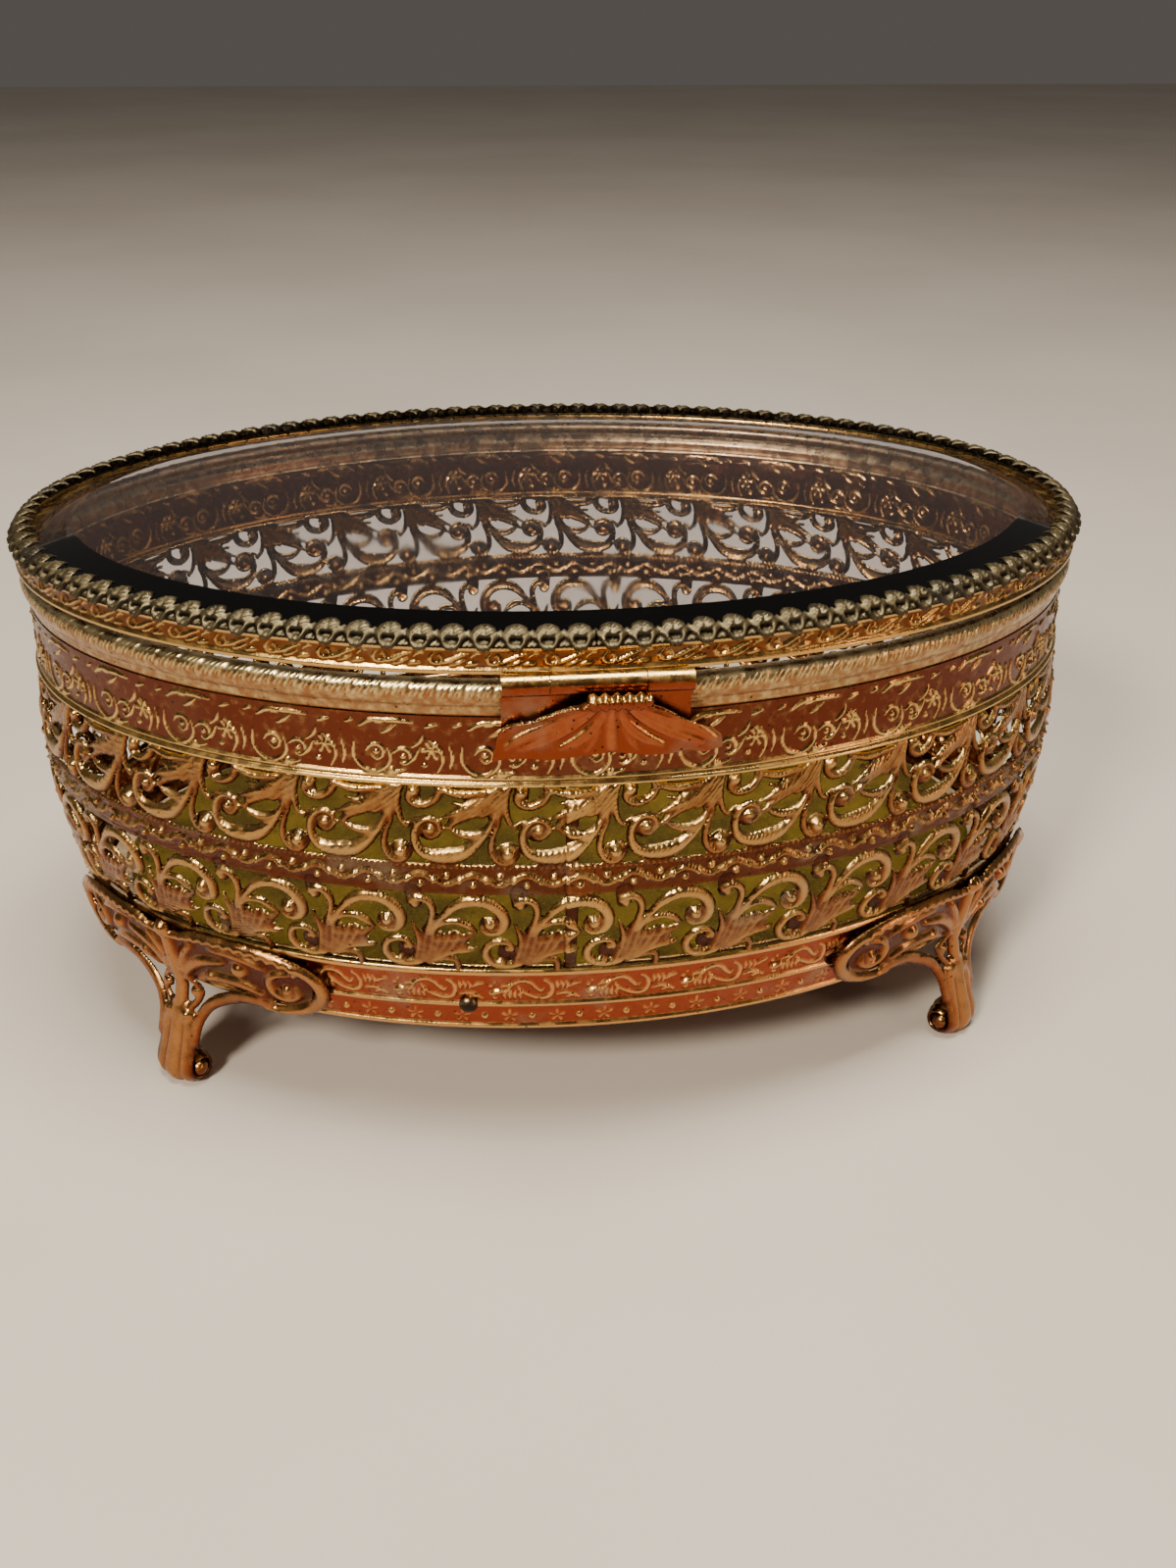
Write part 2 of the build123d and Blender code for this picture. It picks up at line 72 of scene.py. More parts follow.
# Levels and half sizes of the casket, as in its CAD, in millimetres
FOOT_TOP = 18.5
BASE_TOP = 31.0
BELLY_LEVEL = 52.0
FILIGREE_TOP = 66.0
COLLAR_TOP = 76.0
RIM_TOP = 81.5
LID_BOTTOM = 83.0
LID_BAND_TOP = 87.0
BEZEL_TOP = 89.2
LID_HALF = (90.0, 65.5)
BODY_HALF = (88.7, 64.2)
BELLY_HALF = (89.7, 65.2)
BASE_TOP_HALF = (87.3, 60.1)
BASE_BOTTOM_HALF = (85.0, 57.7)
PIN_Y = 67.25
PIN_Z = 82.45
LID_SETTLE = math.asin(1.35 / (PIN_Y + LID_HALF[1]))
REPEATS = 31  # ornaments round the oval
STRAIGHT_ROWS = 24
LINE_STEP = 0.18  # spacing of the points that a drawn line is sampled at
VEIN_WIDTH = 0.16
HATCH_STEPS = 4.0  # samples of a line from one cut across it to the next
NOTHING = 9.0  # distance to the outline where nothing is drawn yet
DOT = 0.02  # length of a stroke that stands for a round dot


class Body(Enum):
    """The two bodies that pieces ride on."""

    CASKET = "casket"
    LID = "lid"


# ---- The oval ------------------------------------------------------------------------------------
def oval_table() -> tuple[np.ndarray, np.ndarray]:
    """Arc length against angle on the casket's widest oval.

    Returns:
        Arc lengths in mm from the middle of the back, and the angles they belong to.
    """
    angle = np.linspace(-2 * np.pi, 4 * np.pi, 24001)
    x = BELLY_HALF[0] * np.sin(angle)
    y = BELLY_HALF[1] * np.cos(angle)
    arc = np.concatenate([[0.0], np.cumsum(np.hypot(np.diff(x), np.diff(y)))])
    return arc - np.interp(0.0, angle, arc), angle


ARC, ANGLE = oval_table()
ROUND = float(np.interp(2 * np.pi, ANGLE, ARC))
PITCH = ROUND / REPEATS


@dataclass(frozen=True)
class Profile:
    """Section of an oval strip, as rows of (half length, half width, height) in mm from v = start on."""

    rows: np.ndarray
    start: float = 0.0

    def lengths(self) -> np.ndarray:
        """Path length at each row, measured in the half-width and height plane."""
        steps = np.hypot(np.diff(self.rows[:, 1]), np.diff(self.rows[:, 2]))
        return self.start + np.concatenate([[0.0], np.cumsum(steps)])

    def at(self, v: np.ndarray) -> tuple[np.ndarray, ...]:
        """The strip at distances v along its cross-section.

        Args:
            v: distances in mm.

        Returns:
            Half length, half width, height, and the outward and upward parts of the unit normal.
        """
        lengths = self.lengths()
        a, b, z = (np.interp(v, lengths, self.rows[:, k]) for k in range(3))
        slope_b = np.gradient(self.rows[:, 1], lengths)
        slope_z = np.gradient(self.rows[:, 2], lengths)
        out, up = np.interp(v, lengths, slope_z), -np.interp(v, lengths, slope_b)
        size = np.maximum(np.hypot(out, up), 1e-6)
        return a, b, z, out / size, up / size

    def place(self, s: np.ndarray, v: np.ndarray, h: np.ndarray) -> np.ndarray:
        """Bends the unrolled strip round the oval.

        A point is (-a sin t, b cos t, z) for the angle t whose arc length is s, plus h times the normal.

        Args:
            s: distance round the oval from the middle of the back.
            v: distance along the cross-section.
            h: height above the strip.

        Returns:
            Positions in mm, one row each.
        """
        t = np.interp(s, ARC, ANGLE)
        a, b, z, out, up = self.at(v)
        x, y = -a * np.sin(t), b * np.cos(t)
        nx, ny = x / a**2, y / b**2
        size = np.hypot(nx, ny)
        return np.stack([x + h * out * nx / size, y + h * out * ny / size, z + h * up], axis=-1)


@dataclass(frozen=True)
class StretchedProfile(Profile):
    """A profile whose drawing is measured in heights and stretched to the length of its path."""

    stretch: float = 1.0

    def place(self, s: np.ndarray, v: np.ndarray, h: np.ndarray) -> np.ndarray:
        """Bends the strip round the oval, with v stretched from the start on."""
        return super().place(s, self.start + (v - self.start) * self.stretch, h)


@dataclass(frozen=True)
class SettledProfile(Profile):
    """A profile that lies with the settled lid."""

    def place(self, s: np.ndarray, v: np.ndarray, h: np.ndarray) -> np.ndarray:
        """Bends the strip round the oval and lays it with the settled lid."""
        return settle(super().place(s, v, h))


def filigree_half(z: np.ndarray, axis: int) -> np.ndarray:
    """Half size of the swelling wall: the parabola through its bottom, belly and top.

    Args:
        z: heights in mm.
        axis: 0 for the half length, 1 for the half width.

    Returns:
        The half size at each height.
    """
    levels = (BASE_TOP, BELLY_LEVEL, FILIGREE_TOP)
    values = (BASE_TOP_HALF[axis], BELLY_HALF[axis], BODY_HALF[axis])
    return np.polyval(np.polyfit(levels, values, 2), z)


def straight_rows(low: tuple, high: tuple, bottom: float, top: float) -> np.ndarray:
    """Profile rows of a straight strip between two levels.

    Args:
        low: half sizes at the bottom.
        high: half sizes at the top.
        bottom: height of the bottom.
        top: height of the top.

    Returns:
        Rows of half length, half width and height.
    """
    share = np.linspace(0.0, 1.0, STRAIGHT_ROWS)
    a = low[0] + share * (high[0] - low[0])
    b = low[1] + share * (high[1] - low[1])
    return np.stack([a, b, bottom + share * (top - bottom)], axis=1)


def settle(points: np.ndarray) -> np.ndarray:
    """Turns lid points about the hinge pin by the small angle at which the closed lid lies.

    Args:
        points: positions in mm.

    Returns:
        The turned positions.
    """
    c, s = math.cos(LID_SETTLE), math.sin(LID_SETTLE)
    y, z = points[:, 1] - PIN_Y, points[:, 2] - PIN_Z
    return np.stack([points[:, 0], PIN_Y + c * y - s * z, PIN_Z + s * y + c * z], axis=1)


# ---- Drawing -------------------------------------------------------------------------------------
@dataclass(frozen=True)
class Stroke:
    """A ridge along a smooth line.

    path: points the line passes through; widths: half width at each; rise: height over the strip;
    vein: depth of a groove along its middle; hatch: depth of fine cuts across it; lift: height of its edge.
    """

    path: Sequence[tuple[float, float]]
    widths: Sequence[float]
    rise: float = 0.9
    vein: float = 0.0
    hatch: float = 0.0
    lift: float = 0.0


def smooth_line(points: np.ndarray, spacing: float) -> np.ndarray:
    """A Catmull-Rom curve through rows of numbers, sampled about evenly by its first two columns.

    Args:
        points: the rows that it passes through.
        spacing: distance between samples.

    Returns:
        The sampled rows.
    """
    if len(points) < 2:
        return points
    ends = np.vstack([2 * points[0] - points[1], points, 2 * points[-1] - points[-2]])
    pieces = []
    for k in range(len(points) - 1):
        p0, p1, p2, p3 = ends[k : k + 4]
        count = max(2, int(np.hypot(*(p2 - p1)[:2]) / spacing) + 1)
        t = np.linspace(0.0, 1.0, count, endpoint=False)[:, None]
        pieces.append(
            0.5 * (
                2 * p1 + (p2 - p0) * t + (
                    2 * p0 - 5 * p1 + 4 * p2 - p3
                ) * t**2 + (3 * p1 - p0 - 3 * p2 + p3) * t**3
            )
        )
    return np.vstack([*pieces, points[-1:]])


@dataclass
class Drawing:
    """A height field over a rectangle of the unrolled strip, with a signed distance to its outline."""

    width: float
    low: float
    high: float
    cell: float
    wraps: bool = True
    left: float = 0.0
    distance: np.ndarray = field(init=False)
    height: np.ndarray = field(init=False)

    def __post_init__(self) -> None:
        """Makes the empty grid, where nothing is solid and every height is zero."""
        columns = round(self.width / self.cell)
        rows = round((self.high - self.low) / self.cell)
        extra = 0 if self.wraps else 1
        self.s = self.left + np.arange(columns + extra) * self.width / columns
        self.v = np.linspace(self.low, self.high, rows + 1)
        self.grid_s, self.grid_v = np.meshgrid(self.s, self.v, indexing="ij")
        self.distance = np.full(self.grid_s.shape, NOTHING)
        self.height = np.zeros(self.grid_s.shape)

    def shifts(self) -> tuple[float, ...]:
        """How far copies of a stroke lie apart, so that it wraps round the tile."""
        return (-2 * self.width, -self.width, 0.0, self.width, 2 * self.width) if self.wraps else (0.0,)

    def stroke(self, item: Stroke) -> None:
        """Adds a ridge: the higher of the old and new heights stays.

        The ridge's section is a rounded dome, rise times the square root of 1 - (d / r) squared.

        Args:
            item: the stroke.
        """
        widths = np.interp(
            np.linspace(0, 1, len(item.path)), np.linspace(0, 1, len(item.widths)), item.widths
        )
        rows = np.column_stack([np.array(item.path, float), widths])
        line = smooth_line(rows, LINE_STEP)
        reach = line[:, 2].max() + 3 * self.cell
        for shift in self.shifts():
            low = line[:, :2].min(0) + (shift, 0) - reach
            high = line[:, :2].max(0) + (shift, 0) + reach
            cols = np.flatnonzero((self.s >= low[0]) & (self.s <= high[0]))
            rows_in = np.flatnonzero((self.v >= low[1]) & (self.v <= high[1]))
            if cols.size and rows_in.size:
                self.stamp(item, line, shift, np.ix_(cols, rows_in))

    def stamp(self, item: Stroke, line: np.ndarray, shift: float, window: tuple) -> None:
        """Adds one copy of a ridge to one window of the grid.

        Args:
            item: the stroke.
            line: its sampled line and half widths.
            shift: how far this copy is moved.
            window: the grid's rows and columns that it can reach.
        """
        s, v = self.grid_s[window] - shift, self.grid_v[window]
        gap = np.hypot(s[..., None] - line[:, 0], v[..., None] - line[:, 1])
        radius = np.maximum(line[:, 2], 0.03)
        signed = gap - radius
        nearest = signed.argmin(-1)
        signed = np.take_along_axis(signed, nearest[..., None], -1)[..., 0]
        r = radius[nearest]
        q = np.clip((signed + r) / r, 0.0, 1.0)
        dome = item.lift + item.rise * np.sqrt(np.clip(1.0 - q**2, 0.0, 1.0))
        if item.vein:
            dome -= item.vein * np.exp(-((q * r / VEIN_WIDTH) ** 2))
        if item.hatch:
            dome -= item.hatch * (0.5 + 0.5 * np.cos(nearest * 2 * np.pi / HATCH_STEPS)) * (1.0 - q**2)
        inside = signed < 0
        old = self.height[window]
        solid = self.distance[window] < 0
        self.height[window] = np.where(inside, np.where(solid, np.maximum(old, dome), dome), old)
        self.distance[window] = np.minimum(self.distance[window], signed)

    def ball(self, s: float, v: float, radius: float, rise: float = 1.0, lift: float = 0.0) -> None:
        """Adds a half ball."""
        self.stroke(Stroke([(s, v), (s + DOT, v)], [radius, radius], rise, lift=lift))

    def dot(self, s: float, v: float, radius: float, rise: float) -> None:
        """Raises a round dot on a strip that is already solid."""
        self.engrave(Stroke([(s, v), (s + DOT, v)], [radius], rise))

    def plate(self, low: float, high: float, height: float = 0.0) -> None:
        """Makes the strip solid between two distances, at a height where it was empty.

        Args:
            low: where it starts.
            high: where it ends.
            height: height of what was empty.
        """
        signed = np.maximum(low - self.grid_v, self.grid_v - high)
        empty = (self.distance > 0) & (signed < 0)
        self.height = np.where(empty, height, self.height)
        self.distance = np.minimum(self.distance, signed)

    def line(self, centre: float, half: float, rise: float) -> None:
        """Adds a raised straight line along the strip, with a rounded section."""
        q = np.clip(np.abs(self.grid_v - centre) / half, 0.0, 1.0)
        self.height = np.maximum(self.height, rise * np.sqrt(1.0 - q**2))

    def engrave(self, item: Stroke) -> None:
        """Raises or sinks a fine line on a strip that is already solid, without changing its outline.

        Args:
            item: the stroke; its rise is added to what is there.
        """
        before = self.height.copy()
        outline = self.distance.copy()
        self.height = np.zeros_like(before)
        self.distance = np.full_like(outline, NOTHING)
        self.stroke(item)
        self.height = before + np.where(self.distance < 0, self.height, 0.0)
        self.distance = outline

    def soften(self, times: int = 1) -> None:
        """Rounds the height field: a point becomes half itself and a quarter of the one on each side of it.

        Args:
            times: how often that is done along the strip and across it.
        """
        for _ in range(times):
            for axis in (0, 1):
                mode = "wrap" if (axis == 0 and self.wraps) else "edge"
                pad = [(1, 1) if k == axis else (0, 0) for k in (0, 1)]
                h = np.pad(self.height, pad, mode=mode)
                take = [slice(None), slice(None)]
                parts = []
                for offset in (0, 1, 2):
                    take[axis] = slice(offset, h.shape[axis] - 2 + offset)
                    parts.append(h[tuple(take)])
                self.height = 0.25 * parts[0] + 0.5 * parts[1] + 0.25 * parts[2]


# ---- Meshes --------------------------------------------------------------------------------------
def make_object(name: str, points: np.ndarray, *groups: np.ndarray) -> bpy.types.Object:
    """A smooth mesh object from positions in mm.

    Args:
        name: the object's name.
        points: one position per row.
        groups: corner numbers, one face per row; the faces of a group have the same number of corners.

    Returns:
        The object, linked to the scene.
    """
    corners = np.concatenate([group.ravel() for group in groups]).astype(np.int32)
    counts = np.concatenate([np.full(len(group), group.shape[1]) for group in groups])
    starts = np.concatenate([[0], np.cumsum(counts)[:-1]]).astype(np.int32)
    mesh = bpy.data.meshes.new(name)
    mesh.vertices.add(len(points))
    mesh.vertices.foreach_set("co", (points * MM).astype(np.float32).ravel())
    mesh.loops.add(len(corners))
    mesh.loops.foreach_set("vertex_index", corners)
    mesh.polygons.add(len(starts))
    mesh.polygons.foreach_set("loop_start", starts)
    mesh.update(calc_edges=True)
    mesh.validate()
    mesh.polygons.foreach_set("use_smooth", np.ones(len(mesh.polygons), bool))
    obj = bpy.data.objects.new(name, mesh)
    bpy.context.scene.collection.objects.link(obj)
    return obj


def grid_faces(n: int, m: int, closed_n: bool, closed_m: bool, flip: bool = False) -> np.ndarray:
    """Four-cornered faces over n rows of m points, where point j of row i has the number i m + j.

    Args:
        n: how many rows.
        m: points in a row.
        closed_n: whether the last row joins the first.
        closed_m: whether the last point of a row joins its first.
        flip: turns the faces over.

    Returns:
        Four corner numbers per face.
    """
    across = np.arange(m if closed_m else m - 1)
    i, j = (g.ravel() for g in np.meshgrid(np.arange(n if closed_n else n - 1), across, indexing="ij"))
    after, up = (i + 1) % n, (j + 1) % m
    faces = np.column_stack([i * m + j, after * m + j, after * m + up, i * m + up])
    return faces[:, [0, 3, 2, 1]] if flip else faces


def cap_faces(n: int, m: int, flip: bool = False) -> tuple[np.ndarray, np.ndarray]:
    """The flat faces that close n rows of m points, swept round, at their first and last points.

    Args:
        n: how many rows.
        m: points in a row.
        flip: turns the faces over.

    Returns:
        The lower and the upper face, one row each.
    """
    first = (np.arange(n) * m)[None, :]
    last = first + m - 1
    return (first, last[:, ::-1]) if flip else (first[:, ::-1], last)


def oval_sweep(
    half: tuple[float, float], section: Sequence[tuple[float, float]], steps: int = 360
) -> np.ndarray:
    """Carries a section round an oval: (-a sin t, b cos t, z), where the section's depth is added to a and b.

    Args:
        half: half sizes of the oval that the section is measured from.
        section: (outward, height) points.
        steps: how many places round the oval.

    Returns:
        Positions in mm, the section's points side by side for one place after another.
    """
    t = np.linspace(0, 2 * np.pi, steps + 1)[:-1]
    outline = np.array(section, float)
    a, b = half[0] + outline[:, 0], half[1] + outline[:, 0]
    x, y = -np.sin(t)[:, None] * a, np.cos(t)[:, None] * b
    return np.stack([x, y, np.broadcast_to(outline[:, 1], x.shape)], -1).reshape(-1, 3)


def swept_ring(
    name: str, half: tuple[float, float], section: Sequence[tuple[float, float]]
) -> bpy.types.Object:
    """An oval ring whose section is a closed outline.

    Args:
        name: the object's name.
        half: half sizes of the oval that the section is measured from.
        section: (outward, height) corners, anticlockwise seen with outward to the right.

    Returns:
        The object, with a small bevel on its edges.
    """
    points = oval_sweep(half, section)
    rows = len(section)
    obj = make_object(name, points, grid_faces(len(points) // rows, rows, True, True))
    smooth_edges(obj)
    set_attribute(obj, "relief", np.full(len(points), 0.3))
    return obj


def smooth_edges(obj: bpy.types.Object, width: float = 0.12) -> None:
    """Rounds every sharp edge of a piece by a small bevel, and keeps the flats flat.

    Args:
        obj: the piece.
        width: width of the bevel in mm.
    """
    bevel = obj.modifiers.new("edges", "BEVEL")
    bevel.width = width * MM
    bevel.segments = 2
    bevel.limit_method = "ANGLE"
    bevel.angle_limit = math.radians(30)
    bevel.harden_normals = True


def edge_between(first: np.ndarray, second: np.ndarray) -> np.ndarray:
    """Pairs of grid points, the lower number first."""
    return np.stack([np.minimum(first, second), np.maximum(first, second)], -1)


def set_attribute(obj: bpy.types.Object, name: str, values: np.ndarray) -> None:
    """Stores one number per vertex under a name that materials read."""
    obj.data.attributes.new(name, "FLOAT", "POINT").data.foreach_set(
        "value", values.astype(np.float32).ravel()
    )


def clipped_triangles(distance: np.ndarray) -> tuple[np.ndarray, np.ndarray]:
    """Cuts a grid of triangles along the zero line of a signed distance.

    Each cell is two triangles. A triangle wholly inside stays, and one with a corner outside keeps its inner
    part. The new corners lie on the grid's edges where the distance passes zero.

    Args:
        distance: signed distance at each grid point, negative inside.

    Returns:
        Pairs of grid points and the share between them that make each corner (start, end), as rows of
        (start, end), and the triangles as corner numbers into those rows.
    """
    columns, rows = distance.shape
    number = np.arange(columns * rows).reshape(columns, rows)
    a, b = number[:-1, :-1].ravel(), number[1:, :-1].ravel()
    c, d = number[1:, 1:].ravel(), number[:-1, 1:].ravel()
    triangles = np.vstack([np.column_stack([a, b, c]), np.column_stack([a, c, d])])
    inside = (distance.ravel() < 0)[triangles]
    count = inside.sum(1)
    whole = triangles[count == 3]
    keys = [np.stack([whole, whole], -1)]
    for wanted in (1, 2):
        part, flags = triangles[count == wanted], inside[count == wanted]
        odd = (flags if wanted == 1 else ~flags).argmax(1)
        turn = (odd[:, None] + np.arange(3)) % 3
        p = np.take_along_axis(part, turn, 1)
        tip, left, right = p[:, 0], p[:, 1], p[:, 2]
        cut_left, cut_right = edge_between(tip, left), edge_between(tip, right)
        if wanted == 1:
            keys.append(np.stack([edge_between(tip, tip), cut_left, cut_right], 1))
        else:
            keys.append(np.stack([cut_left, edge_between(left, left), edge_between(right, right)], 1))
            keys.append(np.stack([cut_left, edge_between(right, right), cut_right], 1))
    corners = np.vstack(keys).astype(np.int64)
    code = corners[..., 0] * (columns * rows) + corners[..., 1]
    unique, index = np.unique(code.ravel(), return_inverse=True)
    pairs = np.column_stack([unique // (columns * rows), unique % (columns * rows)])
    return pairs, index.reshape(-1, 3)


def relief_object(
    name: str,
    s: np.ndarray,
    v: np.ndarray,
    distance: np.ndarray,
    height: np.ndarray,
    place: Callable[[np.ndarray, np.ndarray, np.ndarray], np.ndarray],
    flip: bool = False,
    backing: float | None = None,
) -> bpy.types.Object:
    """The solid part of a height field as a mesh, bent into place.

    Args:
        name: the object's name.
        s: the grid's distances along the strip.
        v: the grid's distances across it.
        distance: signed distance to the outline at each grid point.
        height: height at each grid point.
        place: turns s, v and height into positions.
        flip: turns the faces over.
        backing: thickness of sheet behind the surface, or None for a bare surface.

    Returns:
        The object, with the attribute "relief" for how high each point stands; at a cut edge it is set to
        about a third of that, a painted shade along the openings.
    """
    pairs, faces = clipped_triangles(distance)
    grid_s, grid_v = (g.ravel() for g in np.meshgrid(s, v, indexing="ij"))
    flat, tall = distance.ravel(), height.ravel()
    d0, d1 = flat[pairs[:, 0]], flat[pairs[:, 1]]
    share = np.where(pairs[:, 0] == pairs[:, 1], 0.0, d0 / np.where(d0 == d1, 1.0, d0 - d1))
    mixed = [g[pairs[:, 0]] + share * (g[pairs[:, 1]] - g[pairs[:, 0]]) for g in (grid_s, grid_v)]
    inner_first = flat[pairs[:, 0]] < 0
    edge_height = np.where(inner_first, tall[pairs[:, 0]], tall[pairs[:, 1]])
    cut = pairs[:, 0] != pairs[:, 1]
    h = np.where(cut, 0.55 * edge_height, tall[pairs[:, 0]])
    obj = make_object(name, place(mixed[0], mixed[1], h), faces[:, ::-1] if flip else faces)
    # Painted shade: a cut edge gets about a third of its height as relief, so the rims of the openings take
    # the darker hollow colour
    set_attribute(obj, "relief", np.where(cut, 0.35 * h, h))
    if backing is not None:
        sheet = obj.modifiers.new("sheet", "SOLIDIFY")
        sheet.thickness = backing * MM
        sheet.offset = -1.0
        sheet.use_quality_normals = False
    return obj


def banded_object(
    name: str,
    tile: Drawing,
    copies: int,
    parts: int,
    place: Callable[[np.ndarray, np.ndarray, np.ndarray], np.ndarray],
    backing: float | None,
    change: Callable[[np.ndarray, np.ndarray, np.ndarray, np.ndarray], tuple] | None = None,
) -> list[bpy.types.Object]:
    """Repeats a tile all the way round and makes it in several pieces.

    Args:
        name: start of the pieces' names.
        tile: the drawing of one repeat.
        copies: how many repeats go round.
        parts: how many pieces are made.
        place: bends the strip into place.
        backing: sheet thickness behind the surface, or None.
        change: changes the whole strip's distance and height, given s, v, distance and height.

    Returns:
        The pieces.
    """
    distance = np.tile(tile.distance, (copies, 1))
    height = np.tile(tile.height, (copies, 1))
    columns = len(distance)
    s = tile.left + np.arange(columns + 1) * tile.width / len(tile.s)
    distance = np.vstack([distance, distance[:1]])
    height = np.vstack([height, height[:1]])
    if change is not None:
        distance, height = change(s[:, None], tile.v[None, :], distance, height)
    cuts = np.linspace(0, columns, parts + 1).astype(int)
    made = []
    for k in range(parts):
        rows = slice(cuts[k], cuts[k + 1] + 1)
        made.append(
            relief_object(
                f"{name}_{k + 1:02d}", s[rows], tile.v, distance[rows], height[rows], place, False, backing
            )
        )
    return made


# ---- Finishes ------------------------------------------------------------------------------------
def linear(code: str) -> tuple[float, float, float, float]:
    """A hex colour as linear RGBA."""
    parts = [int(code[k : k + 2], 16) / 255 for k in (1, 3, 5)]
    return (*[p / 12.92 if p <= 0.04045 else ((p + 0.055) / 1.055) ** 2.4 for p in parts], 1.0)


class Tree:
    """The nodes of one material."""

    def __init__(self, name: str) -> None:
        """Starts a material with only its output."""
        self.material = bpy.data.materials.new(name)
        self.material.use_nodes = True
        self.tree = self.material.node_tree
        self.tree.nodes.clear()
        self.output = self.add("ShaderNodeOutputMaterial")

    def add(self, kind: str, sockets: dict | None = None, **settings: object) -> bpy.types.Node:
        """Adds a node.

        Args:
            kind: the node's type.
            sockets: a value or another socket for each named or numbered input.
            settings: the node's own properties.

        Returns:
            The node.
        """
        node = self.tree.nodes.new(kind)
        for key, value in settings.items():
            setattr(node, key, value)
        for key, value in (sockets or {}).items():
            if isinstance(value, bpy.types.NodeSocket):
                self.tree.links.new(value, node.inputs[key])
            else:
                node.inputs[key].default_value = value
        return node

    def coords(self) -> bpy.types.NodeSocket:
        """Object coordinates, in metres."""
        return self.add("ShaderNodeTexCoord").outputs["Object"]

    def noise(self, size_mm: float, detail: float = 4.0, rough: float = 0.55) -> bpy.types.NodeSocket:
        """Cloudy variation whose features are about the given size."""
        sockets = {
            "Vector": self.coords(), "Scale": 1.0 / (size_mm * MM), "Detail": detail, "Roughness": rough
        }
        return self.add("ShaderNodeTexNoise", sockets).outputs["Fac"]

    def ramp(
        self, fac: bpy.types.NodeSocket, low: float, high: float, to: tuple = (0.0, 1.0)
    ) -> bpy.types.NodeSocket:
        """Maps a range of values smoothly to another, and holds it outside."""
        sockets = {"Value": fac, "From Min": low, "From Max": high, "To Min": to[0], "To Max": to[1]}
        return self.add("ShaderNodeMapRange", sockets, interpolation_type="SMOOTHSTEP").outputs["Result"]

    def maths(self, operation: str, first: object, second: object = 0.0) -> bpy.types.NodeSocket:
        """One sum of two values."""
        return self.add("ShaderNodeMath", {0: first, 1: second}, operation=operation).outputs[0]

    def mix(self, fac: object, first: object, second: object) -> bpy.types.NodeSocket:
        """Mixes two colours."""
        sockets = {"Factor": fac, 6: first, 7: second}
        return self.add("ShaderNodeMix", sockets, data_type="RGBA").outputs[2]

    def finish(self, shader: bpy.types.NodeSocket) -> bpy.types.Material:
        """Joins the shader to the output and returns the material."""
        self.tree.links.new(shader, self.output.inputs["Surface"])
        return self.material


